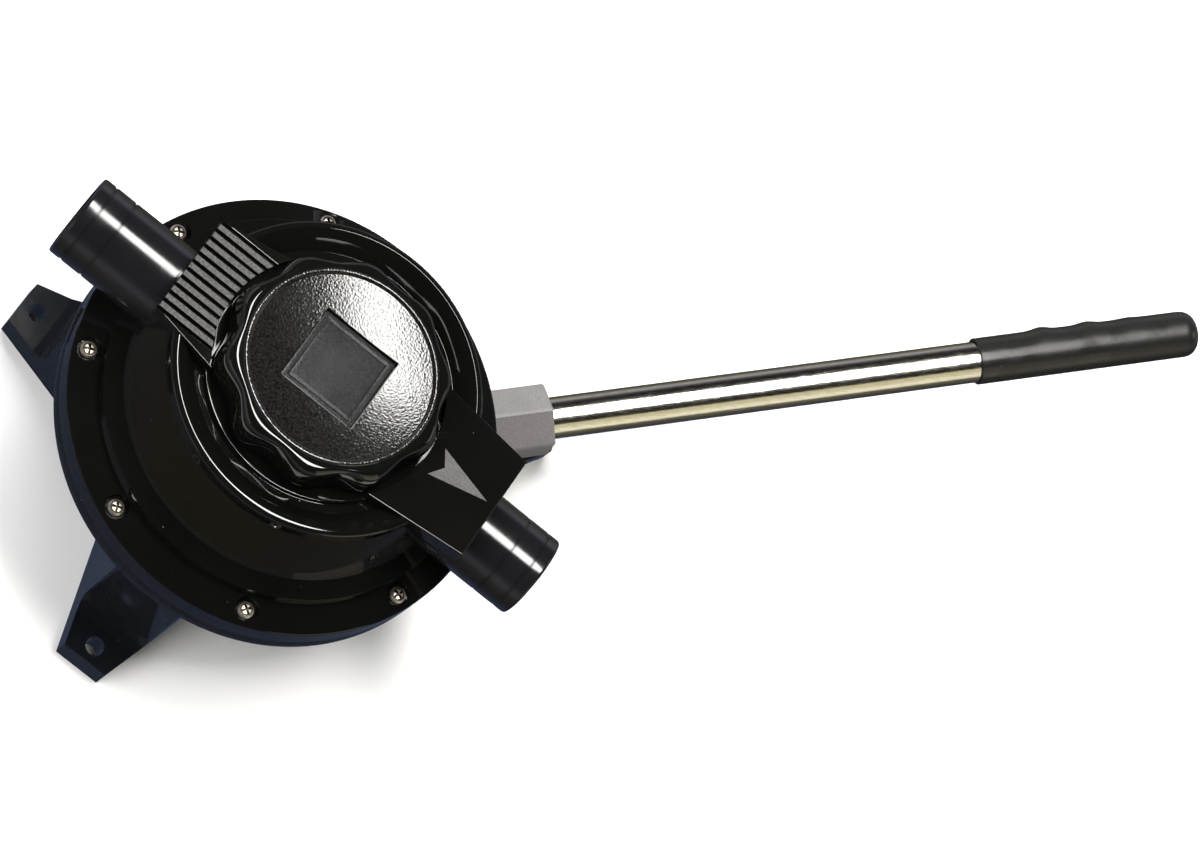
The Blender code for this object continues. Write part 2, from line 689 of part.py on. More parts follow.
def pump_chamber():
    """Room over the diaphragm, with a deeper channel under the shoulder."""
    rim = SHOULDER_RADIUS - BODY_WALL
    channel_z = SHOULDER_Z - BODY_WALL
    inner = CONE_FOOT_RADIUS - CHAMBER_LIP
    return [
        (0.0, BODY_Z - CUT_PAST),
        (RING_BORE_RADIUS, BODY_Z - CUT_PAST),
        (RING_BORE_RADIUS, BODY_Z + CHAMBER_LIP),
        (rim, BODY_Z + CHAMBER_LIP),
        (rim, channel_z - 0.5 * CHAMBER_LIP),
        (rim - 0.25 * CHAMBER_LIP, channel_z),
        (inner + 0.25 * CHAMBER_LIP, channel_z),
        (inner, CHAMBER_Z),
        (0.0, CHAMBER_Z),
    ]


def valve_pockets():
    """The two rooms over the valve floor, one for each tail, with the partition left between them."""
    floor_radius = CONE_FOOT_RADIUS - BODY_WALL
    profile = [
        (0.0, VALVE_FLOOR_Z),
        (floor_radius, VALVE_FLOOR_Z),
        (floor_radius, SHOULDER_Z + CHAMBER_LIP),
        (NECK_BORE_RADIUS, NECK_Z - SPIGOT_DEPTH),
        (NECK_BORE_RADIUS, NECK_Z + CUT_PAST),
        (0.0, NECK_Z + CUT_PAST),
    ]
    pockets = helper("body_pockets", turned(profile, LARGE_ROUND))
    top = COVER_SEAT_Z - SPIGOT_DEPTH - GAP
    low = VALVE_FLOOR_Z - CUT_PAST
    wall = box((-PARTITION_HALF, -FLANGE_RADIUS, low), (PARTITION_HALF, FLANGE_RADIUS, top))
    cut(pockets, "body_partition", moved(wall, azimuth(TAIL_AZIMUTH)))
    cut(pockets, "body_stud_boss", disc(STUD_BOSS_RADIUS, low, top, SMALL_ROUND))
    return pockets


def tail_bores():
    bores = []
    for side in (-1, 1):
        ends = sorted((side * TAIL_BORE_START, side * (TAIL_REACH + CUT_PAST)))
        bores.append(along_x(disc(TAIL_BORE_RADIUS, ends[0], ends[1], MEDIUM_ROUND)))
    return moved(merged(bores), azimuth(TAIL_AZIMUTH) @ Matrix.Translation((0.0, 0.0, TAIL_Z)))


def valve_holes():
    holes = []
    for side in (-1, 1):
        hole = disc(VALVE_HOLE_RADIUS, CHAMBER_Z - CUT_PAST, VALVE_FLOOR_Z + CUT_PAST, MEDIUM_ROUND)
        holes.append(moved(hole, Matrix.Translation((side * VALVE_OFFSET, 0.0, 0.0))))
    return moved(merged(holes), azimuth(TAIL_AZIMUTH))


def pump_body(material):
    body = place("pump_body", turned(body_profile(), LARGE_ROUND), material)
    tails = along_x(turned(tail_profile(), MEDIUM_ROUND))
    turn = azimuth(TAIL_AZIMUTH)
    join(body, "body_tails", moved(tails, turn @ Matrix.Translation((0.0, 0.0, TAIL_Z))))
    join(body, "body_tail_webs", tail_webs())
    cut(body, "body_chamber", turned(pump_chamber(), LARGE_ROUND))
    cut(body, "body_pocket_cut", valve_pockets())
    cut(body, "body_tail_bores", tail_bores())
    cut(body, "body_valve_holes", valve_holes())
    cut(body, "body_stud_hole", disc(STUD_RADIUS + GAP, STUD_FOOT_Z - GAP, NECK_Z + CUT_PAST, SMALL_ROUND))
    low = BODY_Z - CUT_PAST
    cut(body, "body_screw_holes", screw_holes(SCREW_RADIUS + GAP, low, FLANGE_EDGE_Z + CUT_PAST))
    seat = screw_seat_height()
    cut(body, "body_screw_seats", screw_holes(SCREW_RECESS_RADIUS, seat, seat + SHOULDER_HEIGHT))
    return body


def cover_screws(material):
    """Pan-head screws in the flange, all sharing one mesh."""
    seat = screw_seat_height() + GAP
    head = SCREW_HEAD_RADIUS
    top = seat + SCREW_HEAD_HEIGHT
    foot = screw_hole_foot() + GAP
    profile = [
        (0.0, foot),
        (SCREW_RADIUS, foot),
        (SCREW_RADIUS, seat),
        (head, seat),
        (head, seat + 0.5 * SCREW_HEAD_HEIGHT),
        (0.72 * head, top),
        (0.0, top),
    ]
    first = None
    for i, spot in enumerate(screw_positions()):
        name = f"cover_screw_{i + 1}"
        if first is None:
            first = place(name, turned(profile, SCREW_ROUND), material)
            screw = first
        else:
            screw = bpy.data.objects.new(name, first.data)
            bpy.context.scene.collection.objects.link(screw)
        screw.matrix_world = spot


def screw_seat_height():
    return flange_height(SCREW_CIRCLE) - SCREW_SEAT_DEPTH


def screw_hole_foot():
    return screw_seat_height() - SCREW_LENGTH


# Valves


def flap_outline():
    """A round flap with a square tongue towards its hinge, which is at x = 0."""
    centre = VALVE_OFFSET - FLAP_HINGE_OFFSET
    lean = math.degrees(math.asin(FLAP_TONGUE_HALF_WIDTH / FLAP_RADIUS))
    curve = arc((centre, 0.0), FLAP_RADIUS, -180.0 + lean, 180.0 - lean, SMALL_ROUND)
    return [(0.0, -FLAP_TONGUE_HALF_WIDTH)] + curve + [(0.0, FLAP_TONGUE_HALF_WIDTH)]


def valve_flap(name, side, low, material):
    mesh = prism(flap_outline(), low, low + FLAP_THICKNESS)
    facing = azimuth(TAIL_AZIMUTH + (0.0 if side > 0 else 180.0))
    mesh = moved(mesh, facing @ Matrix.Translation((FLAP_HINGE_OFFSET, 0.0, 0.0)))
    hinge = facing @ Vector((FLAP_HINGE_OFFSET, 0.0, low + FLAP_THICKNESS / 2))
    return place(name, mesh, material, hinge)


def valve_retainer(name, side, wall_z, away, material):
    """An L-shaped bar seated on the valve floor: it holds the flap's tongue against its edge."""
    heel = STUD_BOSS_RADIUS + GAP
    toe = FLAP_HINGE_OFFSET - 2 * GAP
    lip = FLAP_HINGE_OFFSET + RETAINER_LIP
    under_lip = FLAP_THICKNESS + 2 * GAP + RETAINER_LIFT
    seat = wall_z + away * GAP
    step = wall_z + away * under_lip
    top = wall_z + away * (under_lip + RETAINER_THICKNESS)
    outline = [(heel, seat), (toe, seat), (toe, step), (lip, step), (lip, top), (heel, top)]
    facing = azimuth(TAIL_AZIMUTH + (0.0 if side > 0 else 180.0))
    bar = side_prism(outline, -FLAP_TONGUE_HALF_WIDTH, FLAP_TONGUE_HALF_WIDTH)
    return place(name, moved(bar, facing), material)


# Inspection cover


def cover_profile():
    under = COVER_SEAT_Z - SPIGOT_DEPTH
    spigot = NECK_BORE_RADIUS - GAP
    rim = COVER_RIM_Z
    slope = COVER_RIM_SLOPE
    return [
        (0.0, under),
        (spigot, under),
        (spigot, COVER_SEAT_Z),
        (COVER_RADIUS - BAR_EDGE, COVER_SEAT_Z),
        (COVER_RADIUS, COVER_SEAT_Z + BAR_EDGE),
        (COVER_RADIUS, rim - 0.10 * slope),
        (COVER_RADIUS - 0.05 * slope, rim - 0.02 * slope),
        (COVER_RADIUS - 0.14 * slope, rim),
        (COVER_RADIUS - 0.24 * slope, rim - 0.08 * slope),
        (COVER_RADIUS - 0.44 * slope, rim - 0.30 * slope),
        (COVER_RADIUS - 0.71 * slope, COVER_DISH_Z + 0.09 * slope),
        (COVER_RADIUS - slope, COVER_DISH_Z),
        (COLLAR_RADIUS + 2 * BAR_EDGE, COVER_DISH_Z),
        (COLLAR_RADIUS, COVER_DISH_Z + 1.5 * BAR_EDGE),
        (COLLAR_RADIUS, COVER_FLOOR_Z + COLLAR_HEIGHT - 0.5 * BAR_EDGE),
        (COLLAR_RADIUS - 0.5 * BAR_EDGE, COVER_FLOOR_Z + COLLAR_HEIGHT),
        (0.0, COVER_FLOOR_Z + COLLAR_HEIGHT),
    ]


def bar_outline():
    return [
        (-BAR_RIBBED_REACH, -BAR_END_HALF_WIDTH),
        (-BAR_WAIST_REACH, -BAR_WAIST_HALF_WIDTH),
        (BAR_WAIST_REACH, -BAR_WAIST_HALF_WIDTH),
        (BAR_ARROW_REACH, -BAR_ARROW_HALF_WIDTH),
        (BAR_ARROW_REACH, BAR_ARROW_HALF_WIDTH),
        (BAR_WAIST_REACH, BAR_WAIST_HALF_WIDTH),
        (-BAR_WAIST_REACH, BAR_WAIST_HALF_WIDTH),
        (-BAR_RIBBED_REACH, BAR_END_HALF_WIDTH),
    ]


def rib_grooves():
    """The gaps between the ribs, which run from the bar's end to the knob's well."""
    low = BAR_TOP_Z - RIB_GROOVE_DEPTH
    grooves = []
    for i in range(RIB_COUNT - 1):
        middle = (i - (RIB_COUNT - 2) / 2) * RIB_PITCH
        near = (-BAR_RIBBED_REACH - CUT_PAST, middle - RIB_GROOVE_WIDTH / 2, low)
        far = (-0.6 * KNOB_WELL_RADIUS, middle + RIB_GROOVE_WIDTH / 2, BAR_TOP_Z + CUT_PAST)
        grooves.append(box(near, far))
    return moved(merged(grooves), azimuth(TAIL_AZIMUTH))


def inspection_cover(material):
    cover = place("inspection_cover", turned(cover_profile(), LARGE_ROUND), material)
    turn = azimuth(TAIL_AZIMUTH)
    bar = helper("cover_bar", moved(prism(bar_outline(), COVER_SEAT_Z, BAR_TOP_Z), turn))
    edge_round(bar, BAR_EDGE)
    join(cover, "cover_bar_join", bar)
    cut(cover, "cover_knob_well", disc(KNOB_WELL_RADIUS, COVER_FLOOR_Z, BAR_TOP_Z + CUT_PAST, LARGE_ROUND))
    cut(cover, "cover_rib_grooves", rib_grooves())
    cut(cover, "cover_stud_hole", disc(STUD_CLEARANCE, NECK_Z - CUT_PAST, BAR_TOP_Z, SMALL_ROUND))
    return cover


def cover_seal(material):
    inner = NECK_BORE_RADIUS + GAP
    outer = NECK_RADIUS - SEAL_EDGE
    low = SEAL_Z
    high = SEAL_Z + SEAL_THICKNESS
    profile = [
        (inner, low),
        (outer - SEAL_EDGE, low),
        (outer, (low + high) / 2),
        (outer - SEAL_EDGE, high),
        (inner, high),
    ]
    return place("cover_seal", turned(profile, LARGE_ROUND), material)


# Clamp stud and knob


def clamp_stud(material):
    radius = STUD_RADIUS
    profile = [
        (0.0, STUD_FOOT_Z),
        (radius - STUD_CHAMFER, STUD_FOOT_Z),
        (radius, STUD_FOOT_Z + STUD_CHAMFER),
        (radius, STUD_TOP_Z - STUD_CHAMFER),
        (radius - STUD_CHAMFER, STUD_TOP_Z),
        (0.0, STUD_TOP_Z),
    ]
    return place("clamp_stud", turned(profile, SMALL_ROUND), material)


def knob_washer(material):
    low = COVER_FLOOR_Z + GAP
    ring = tube(STUD_CLEARANCE, WASHER_RADIUS, low, low + WASHER_THICKNESS, SMALL_ROUND)
    return place("knob_washer", ring, material)


def knob_ring(radius, height, lobes):
    """One ring of the knob, with its lobes as deep as the given share of the full depth."""
    count = KNOB_LOBES * LOBE_ROUND
    points = []
    for i in range(count):
        angle = 2 * math.pi * (i + 0.5) / count
        swell = math.cos(KNOB_LOBES * (angle - math.radians(KNOB_LOBE_PHASE)))
        reach = radius + lobes * KNOB_LOBE_DEPTH * swell
        points.append((reach * math.cos(angle), reach * math.sin(angle), height))
    return points


def clamp_knob(material):
    hub_low = KNOB_HUB_Z
    insert_top = hub_low + INSERT_LENGTH + GAP
    bore = INSERT_RADIUS + GAP
    ceiling = KNOB_FACE_Z - KNOB_CROWN - KNOB_WALL
    skirt = KNOB_SKIRT_Z
    face = KNOB_FACE_Z
    ring = KNOB_RING_RADIUS
    well = ring - KNOB_RING_WIDTH
    rings = [
        [(0.0, 0.0, insert_top)],
        knob_ring(bore, insert_top, 0.0),
        knob_ring(bore, hub_low, 0.0),
        knob_ring(KNOB_HUB_RADIUS, hub_low, 0.0),
        knob_ring(KNOB_HUB_RADIUS, ceiling, 0.0),
        knob_ring(ring - KNOB_RING_WIDTH, ceiling, 0.0),
        knob_ring(KNOB_RADIUS - KNOB_WALL, skirt, 0.9),
        knob_ring(KNOB_RADIUS - 0.7 * KNOB_RING_WIDTH, skirt, 1.0),
        knob_ring(KNOB_RADIUS, skirt + KNOB_RING_WIDTH, 1.0),
        knob_ring(KNOB_RADIUS, face - KNOB_SHOULDER_DROP, 1.0),
        knob_ring(KNOB_RADIUS - 0.8 * KNOB_RING_WIDTH, face - 0.6 * KNOB_SHOULDER_DROP, 0.85),
        knob_ring((KNOB_RADIUS + ring) / 2, face - 0.3 * KNOB_SHOULDER_DROP, 0.45),
        knob_ring(ring + KNOB_RING_WIDTH, face - 0.1 * KNOB_SHOULDER_DROP, 0.1),
        knob_ring(ring, face, 0.0),
        knob_ring(well, face, 0.0),
        knob_ring(well - 0.5 * KNOB_RING_WIDTH, face - 0.4 * KNOB_RING_HEIGHT, 0.0),
        knob_ring(well - 0.9 * KNOB_RING_WIDTH, face - KNOB_RING_HEIGHT, 0.0),
        knob_ring(0.80 * well, face - KNOB_RING_HEIGHT + 0.45 * KNOB_CROWN, 0.0),
        knob_ring(0.45 * well, face - KNOB_RING_HEIGHT + 0.82 * KNOB_CROWN, 0.0),
        [(0.0, 0.0, face - KNOB_RING_HEIGHT + KNOB_CROWN)],
    ]
    knob = place("clamp_knob", loft(rings), material, (0.0, 0.0, KNOB_HUB_Z))
    half = KNOB_PANEL_SIDE / 2
    corner_z = face - KNOB_RING_HEIGHT + 0.55 * KNOB_CROWN
    panel = box((-half, -half, corner_z - KNOB_PANEL_DEPTH), (half, half, face + CUT_PAST))
    cut(knob, "knob_panel_recess", moved(panel, azimuth(45.0)))
    return knob


def knob_insert(material):
    low = KNOB_HUB_Z
    ring = tube(STUD_RADIUS + GAP, INSERT_RADIUS, low, low + INSERT_LENGTH, SMALL_ROUND)
    return place("knob_insert", ring, material, (0.0, 0.0, low))


# Diaphragm and drive


def diaphragm(material):
    """A moulded sheet with a thick rim, drawn at mid-stroke."""
    half = DIAPHRAGM_THICKNESS / 2
    rim_z = RING_TOP_Z - DIAPHRAGM_BEAD
    rim_start = RING_BORE_RADIUS + GAP
    rim_end = REBATE_RADIUS - GAP
    rim_top = rim_z + DIAPHRAGM_BEAD - DIAPHRAGM_RIM_SLACK
    shares = [(0.93, 1.04), (0.84, 0.94), (0.725, 0.75), (0.45, 0.35), (0.21, 0.08), (0.0, 0.0)]
    run = []
    for across, up in shares:
        radius = PLATE_RADIUS + across * CONVOLUTION_WIDTH
        run.append((radius, DIAPHRAGM_MID_Z + up * (rim_z - DIAPHRAGM_MID_Z)))
    run.append((PLATE_STUD_RADIUS + GAP, DIAPHRAGM_MID_Z))
    upper = [(radius, height + half) for radius, height in run]
    lower = [(radius, height - half) for radius, height in reversed(run)]
    rim = [(rim_start, rim_z), (rim_end, rim_z), (rim_end, rim_top), (rim_start, rim_top)]
    return place("diaphragm", turned(upper + lower + rim, LARGE_ROUND), material)


def plate_faces():
    """Heights of the lower plate's underside and top, and of the upper plate's underside and top."""
    over = DIAPHRAGM_MID_Z + DIAPHRAGM_THICKNESS / 2 + GAP
    return PLATE_LOW_Z, PLATE_LOW_Z + PLATE_THICKNESS, over, over + PLATE_THICKNESS


def plate_profile(low, high, bore, outward):
    """A plate with a rounded rim on the side away from the diaphragm."""
    radius = PLATE_RADIUS
    flat = radius - PLATE_ROUND
    if outward > 0:
        return [(bore, low), (radius, low), (radius, high - PLATE_ROUND), (flat, high), (bore, high)]
    return [(bore, low), (flat, low), (radius, low + PLATE_ROUND), (radius, high), (bore, high)]


def drive_plates(plastic, steel):
    low, under, over, high = plate_faces()
    bore = PLATE_STUD_RADIUS + GAP
    upper = turned(plate_profile(over, high, bore, 1), MEDIUM_ROUND)
    place("diaphragm_plate_upper", upper, plastic)
    blind = plate_profile(low, under, 0.0, -1)
    lower = place("diaphragm_plate_lower", turned(blind, MEDIUM_ROUND), plastic)
    lug_top = low + 0.25 * PLATE_THICKNESS
    lug = arc((0.0, DRIVE_PIN_Z), LUG_HALF_WIDTH, 180.0, 360.0, 14)
    lug += [(LUG_HALF_WIDTH, lug_top), (-LUG_HALF_WIDTH, lug_top)]
    join(lower, "plate_lug", side_prism(lug, -LUG_HALF_THICKNESS, LUG_HALF_THICKNESS))
    stud_top = high + PLATE_WASHER_THICKNESS + PLATE_NUT_HEIGHT + PLATE_STUD_END
    stud_foot = DRIVE_PIN_Z + DRIVE_PIN_RADIUS + PLATE_STUD_WEB
    cut(lower, "plate_stud_hole", disc(bore, stud_foot - GAP, under + CUT_PAST, SMALL_ROUND))
    pin_reach = LUG_HALF_THICKNESS + CUT_PAST
    pin_bore = along_y(disc(DRIVE_PIN_RADIUS + GAP, -pin_reach, pin_reach, SMALL_ROUND))
    cut(lower, "plate_pin_bore", moved(pin_bore, Matrix.Translation((0.0, 0.0, DRIVE_PIN_Z))))
    place("plate_stud", disc(PLATE_STUD_RADIUS, stud_foot, stud_top, SMALL_ROUND), steel)
    washer_low = high + GAP
    washer_high = washer_low + PLATE_WASHER_THICKNESS
    place("plate_washer", tube(bore, PLATE_WASHER_RADIUS, washer_low, washer_high, SMALL_ROUND), steel)
    nut_low = washer_high + GAP
    nut = place("plate_nut", disc(PLATE_NUT_RADIUS, nut_low, nut_low + PLATE_NUT_HEIGHT, 6), steel)
    cut(nut, "nut_bore", disc(bore, nut_low - CUT_PAST, nut_low + PLATE_NUT_HEIGHT + CUT_PAST, SMALL_ROUND))


def grooved_pin(radius, start, groove, end, head=None):
    """Half profile of a pin along its axis: a head or a plain start, and a clip groove near the end."""
    bottom = radius - CLIP_GROOVE_DEPTH
    width = CLIP_THICKNESS + 2 * GAP
    points = [(0.0, start)]
    if head:
        points += [(head[0], start), (head[0], start + head[1]), (radius, start + head[1])]
    else:
        points += [(radius - PIN_CHAMFER, start), (radius, start + PIN_CHAMFER)]
    points += [(radius, groove), (bottom, groove), (bottom, groove + width), (radius, groove + width)]
    points += [(radius, end - PIN_CHAMFER), (radius - PIN_CHAMFER, end), (0.0, end)]
    return points


def drive_pin(steel):
    face = FORK_INNER + FORK_WALL
    clip_near = face + GAP
    groove = clip_near - GAP / 2
    width = CLIP_THICKNESS + 2 * GAP
    end = groove + width + PIN_END
    radius = DRIVE_PIN_RADIUS
    bottom = radius - CLIP_GROOVE_DEPTH
    half = [(radius, 0.0), (radius, groove), (bottom, groove)]
    half += [(bottom, groove + width), (radius, groove + width)]
    half += [(radius, end - PIN_CHAMFER), (radius - PIN_CHAMFER, end), (0.0, end)]
    other = [(r, -z) for r, z in reversed(half[1:])]
    pin = along_y(turned(other + half[1:], SMALL_ROUND))
    spot = Matrix.Translation((0.0, 0.0, DRIVE_PIN_Z))
    place("drive_pin", moved(pin, spot), steel)
    for name, side in (("drive_pin_clip_left", 1), ("drive_pin_clip_right", -1)):
        ends = sorted((side * clip_near, side * (clip_near + CLIP_THICKNESS)))
        clip = along_y(tube(bottom + GAP, bottom + CLIP_WIDTH, -ends[1], -ends[0], SMALL_ROUND))
        place(name, moved(clip, spot), steel)


# Rocker, pivot and lever


def capsule(first, second, radius, steps=8):
    """Outline of a slot with round ends between two centres on a level line."""
    left, right = sorted((first, second))
    return arc(right, radius, -90.0, 90.0, steps) + arc(left, radius, 90.0, 270.0, steps)


def lever_matrix():
    """From the lever's own frame, +X along the socket and the origin at the pivot, to the world."""
    return Matrix.Translation(PIVOT) @ Matrix.Rotation(math.radians(-LEVER_TILT), 4, "Y")


def fork_arm_outline():
    """Side view of a fork arm, from the hub to the slotted eye, kept low under the diaphragm plate."""
    eye_x = -PIVOT_X - FORK_SLOT_TRAVEL / 2 + FORK_SLOT_LEAD
    eye = arc((eye_x, DRIVE_PIN_LIFT), FORK_EYE_RADIUS, 80.0, 280.0, 12)
    upper = [(0.0, 1.3 * ARM_RISE), (-0.45 * PIVOT_X, ARM_RISE)]
    lower = [(-0.45 * PIVOT_X, -ARM_DROP), (0.0, -1.45 * ARM_DROP)]
    return upper + eye + lower


def lever_rocker(material):
    at_pivot = Matrix.Translation(PIVOT)
    hub = along_y(disc(HUB_RADIUS, -HUB_HALF_WIDTH, HUB_HALF_WIDTH, MEDIUM_ROUND))
    rocker = place("lever_rocker", moved(hub, at_pivot), material, PIVOT)
    hexagon = arc((0.0, 0.0), SOCKET_RADIUS, 0.0, 300.0, 5)
    socket = moved(prism(hexagon, 0.0, SOCKET_REACH), Matrix.Rotation(math.radians(90), 4, "Y"))
    socket = helper("rocker_socket", moved(socket, lever_matrix()))
    edge_round(socket, SOCKET_EDGE)
    join(rocker, "rocker_socket_join", socket)
    arms = []
    for side in (-1, 1):
        ends = sorted((side * FORK_INNER, side * (FORK_INNER + FORK_WALL)))
        arms.append(side_prism(fork_arm_outline(), ends[0], ends[1]))
    join(rocker, "rocker_fork", moved(merged(arms), at_pivot))
    web_half = FORK_INNER + 0.2 * FORK_WALL
    web = box((-0.42 * PIVOT_X, -web_half, -0.9 * ARM_DROP), (-0.15 * PIVOT_X, web_half, 0.5 * ARM_RISE))
    join(rocker, "rocker_web", moved(web, at_pivot))
    bore_start = SOCKET_REACH - SOCKET_BORE_DEPTH
    bore = along_x(disc(TUBE_RADIUS + GAP, bore_start, SOCKET_REACH + CUT_PAST, MEDIUM_ROUND))
    cut(rocker, "rocker_tube_bore", moved(bore, lever_matrix()))
    pivot_bore = along_y(disc(PIVOT_PIN_RADIUS + GAP, -CHEEK_OUTER, CHEEK_OUTER, SMALL_ROUND))
    cut(rocker, "rocker_pivot_bore", moved(pivot_bore, at_pivot))
    slot_radius = DRIVE_PIN_RADIUS + FORK_SLOT_CLEARANCE
    near = (-PIVOT_X + FORK_SLOT_LEAD, DRIVE_PIN_LIFT)
    far = (-PIVOT_X - FORK_SLOT_TRAVEL + FORK_SLOT_LEAD, DRIVE_PIN_LIFT)
    slot = side_prism(capsule(near, far, slot_radius), -CHEEK_OUTER, CHEEK_OUTER)
    cut(rocker, "rocker_slots", moved(slot, at_pivot))
    return rocker


def pivot_parts(steel, plastic):
    spot = Matrix.Translation(PIVOT)
    face = CHEEK_OUTER + PIVOT_BOSS_HEIGHT
    head_radius = PIVOT_PIN_RADIUS + PIVOT_HEAD_WIDTH
    start = -face - GAP - PIVOT_HEAD_THICKNESS
    groove = face + GAP / 2
    end = groove + CLIP_THICKNESS + 2 * GAP + PIN_END
    profile = grooved_pin(PIVOT_PIN_RADIUS, start, groove, end, (head_radius, PIVOT_HEAD_THICKNESS))
    place("pivot_pin", moved(along_y(turned(profile, SMALL_ROUND)), spot), steel)
    inner = PIVOT_PIN_RADIUS - CLIP_GROOVE_DEPTH + GAP
    clip_low = face + GAP
    clip = tube(inner, head_radius, clip_low, clip_low + CLIP_THICKNESS, SMALL_ROUND)
    place("pivot_clip", moved(along_y(clip), spot), steel)
    for name, side in (("pivot_bush_left", 1), ("pivot_bush_right", -1)):
        ends = sorted((side * (HUB_HALF_WIDTH + GAP), side * (CHEEK_INNER - GAP)))
        bush = tube(PIVOT_PIN_RADIUS + GAP, HUB_RADIUS - BUSH_INSET, ends[0], ends[1], SMALL_ROUND)
        place(name, moved(along_y(bush), spot), plastic)


def lever_tube(parent, material):
    pipe = along_x(tube(TUBE_RADIUS - TUBE_WALL, TUBE_RADIUS, TUBE_START, TUBE_END, MEDIUM_ROUND))
    return place_on(parent, "lever_tube", pipe, material)


def place_on(parent, name, mesh, material):
    """A piece of the lever, built in the lever's own frame and carried by the rocker."""
    thing = place(name, moved(mesh, lever_matrix()), material, PIVOT)
    thing.parent = parent
    thing.matrix_parent_inverse = Matrix.Translation(-PIVOT)
    return thing


def grip_ring(reach, radius, wave, count):
    """Section of the grip at one place: the finger waves stand out on the +Y side only."""
    points = []
    for i in range(count):
        angle = 2 * math.pi * i / count
        side = max(0.0, math.cos(angle))
        swell = radius + wave * side * side
        points.append((reach, swell * math.cos(angle), swell * math.sin(angle)))
    return points


def lever_grip(parent, material):
    count = SMALL_ROUND
    bore_end = TUBE_END + GAP
    rings = [[(bore_end, 0.0, 0.0)]]
    rings.append(grip_ring(bore_end, GRIP_BORE_RADIUS, 0.0, count))
    rings.append(grip_ring(GRIP_START, GRIP_BORE_RADIUS, 0.0, count))
    round_start = GRIP_END - GRIP_END_ROUND
    steps = GRIP_STEPS
    for i in range(steps + 1):
        share = i / steps
        reach = GRIP_START + (round_start - GRIP_START) * share
        lead = min(1.0, share * 4)
        phase = 2 * math.pi * (reach - GRIP_WAVE_START) / GRIP_WAVE_PITCH
        wave = GRIP_WAVE * (0.4 + (0.4 + 0.6 * math.cos(phase)) * lead)
        rings.append(grip_ring(reach, GRIP_RADIUS, wave, count))
    for angle in (30.0, 55.0, 75.0):
        lean = math.radians(angle)
        reach = round_start + GRIP_END_ROUND * math.sin(lean)
        radius = GRIP_RADIUS - GRIP_END_ROUND * (1 - math.cos(lean))
        rings.append(grip_ring(reach, radius, 0.6 * GRIP_WAVE * math.cos(lean), count))
    rings.append([(GRIP_END, 0.0, 0.0)])
    return place_on(parent, "lever_grip", loft(rings), material)


def build():
    clear_scene()
    black_gloss = make_material("black_gloss", (0.012, 0.012, 0.013), 0.16)
    black_satin = make_material("black_satin", (0.015, 0.015, 0.017), 0.30)
    grey_moulding = make_material("grey_moulding", (0.33, 0.32, 0.32), 0.45)
    stainless = make_material("stainless", (0.72, 0.70, 0.66), 0.22, 1.0)
    brass = make_material("brass", (0.70, 0.52, 0.25), 0.30, 1.0)
    rubber = make_material("rubber", (0.020, 0.020, 0.020), 0.60)
    nylon = make_material("nylon", (0.62, 0.60, 0.55), 0.45)
    vinyl = make_material("vinyl", (0.014, 0.014, 0.014), 0.32)

    base_frame(black_satin)
    pump_body(black_gloss)
    cover_screws(stainless)
    valve_flap("inlet_flap", -1, CHAMBER_Z - GAP - FLAP_THICKNESS, rubber)
    valve_flap("outlet_flap", 1, VALVE_FLOOR_Z + GAP, rubber)
    valve_retainer("inlet_retainer", -1, CHAMBER_Z, -1, nylon)
    valve_retainer("outlet_retainer", 1, VALVE_FLOOR_Z, 1, nylon)
    inspection_cover(black_gloss)
    cover_seal(rubber)
    clamp_stud(stainless)
    knob_washer(stainless)
    clamp_knob(black_gloss)
    knob_insert(brass)
    diaphragm(rubber)
    drive_plates(nylon, stainless)
    drive_pin(stainless)
    rocker = lever_rocker(grey_moulding)
    pivot_parts(stainless, nylon)
    lever_tube(rocker, stainless)
    lever_grip(rocker, vinyl)


build()
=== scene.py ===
import json
import math
import random
from functools import partial

import bpy
from mathutils import Matrix, Vector

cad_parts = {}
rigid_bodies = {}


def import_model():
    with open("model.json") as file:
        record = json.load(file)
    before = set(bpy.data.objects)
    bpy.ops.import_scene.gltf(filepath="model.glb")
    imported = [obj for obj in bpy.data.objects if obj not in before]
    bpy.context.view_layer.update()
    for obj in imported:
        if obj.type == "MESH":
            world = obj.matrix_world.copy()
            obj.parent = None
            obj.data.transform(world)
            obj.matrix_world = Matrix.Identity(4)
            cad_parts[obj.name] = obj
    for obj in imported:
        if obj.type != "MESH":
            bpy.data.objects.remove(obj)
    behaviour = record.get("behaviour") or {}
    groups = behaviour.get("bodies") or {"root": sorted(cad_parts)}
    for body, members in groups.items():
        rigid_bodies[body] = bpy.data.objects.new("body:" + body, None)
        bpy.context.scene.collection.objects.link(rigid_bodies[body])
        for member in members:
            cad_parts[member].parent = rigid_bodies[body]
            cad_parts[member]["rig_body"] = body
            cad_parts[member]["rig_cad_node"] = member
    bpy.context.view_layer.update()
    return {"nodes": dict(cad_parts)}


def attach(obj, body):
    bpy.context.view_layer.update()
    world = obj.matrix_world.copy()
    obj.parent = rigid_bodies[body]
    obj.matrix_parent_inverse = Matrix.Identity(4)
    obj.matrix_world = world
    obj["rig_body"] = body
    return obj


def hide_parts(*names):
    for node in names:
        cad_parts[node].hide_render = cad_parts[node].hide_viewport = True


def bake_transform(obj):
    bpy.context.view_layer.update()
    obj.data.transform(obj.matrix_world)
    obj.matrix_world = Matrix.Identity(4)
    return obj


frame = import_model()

nodes = frame["nodes"]
mm = 0.001
flow = math.radians(-45)  # the hose tails and the cover's bar lie on this line
tilt = math.radians(10.9)  # the lever's rise at rest
pivot = Vector((68, 0, 31.7)) * mm
flowPlace = Matrix.Rotation(flow, 4, "Z")
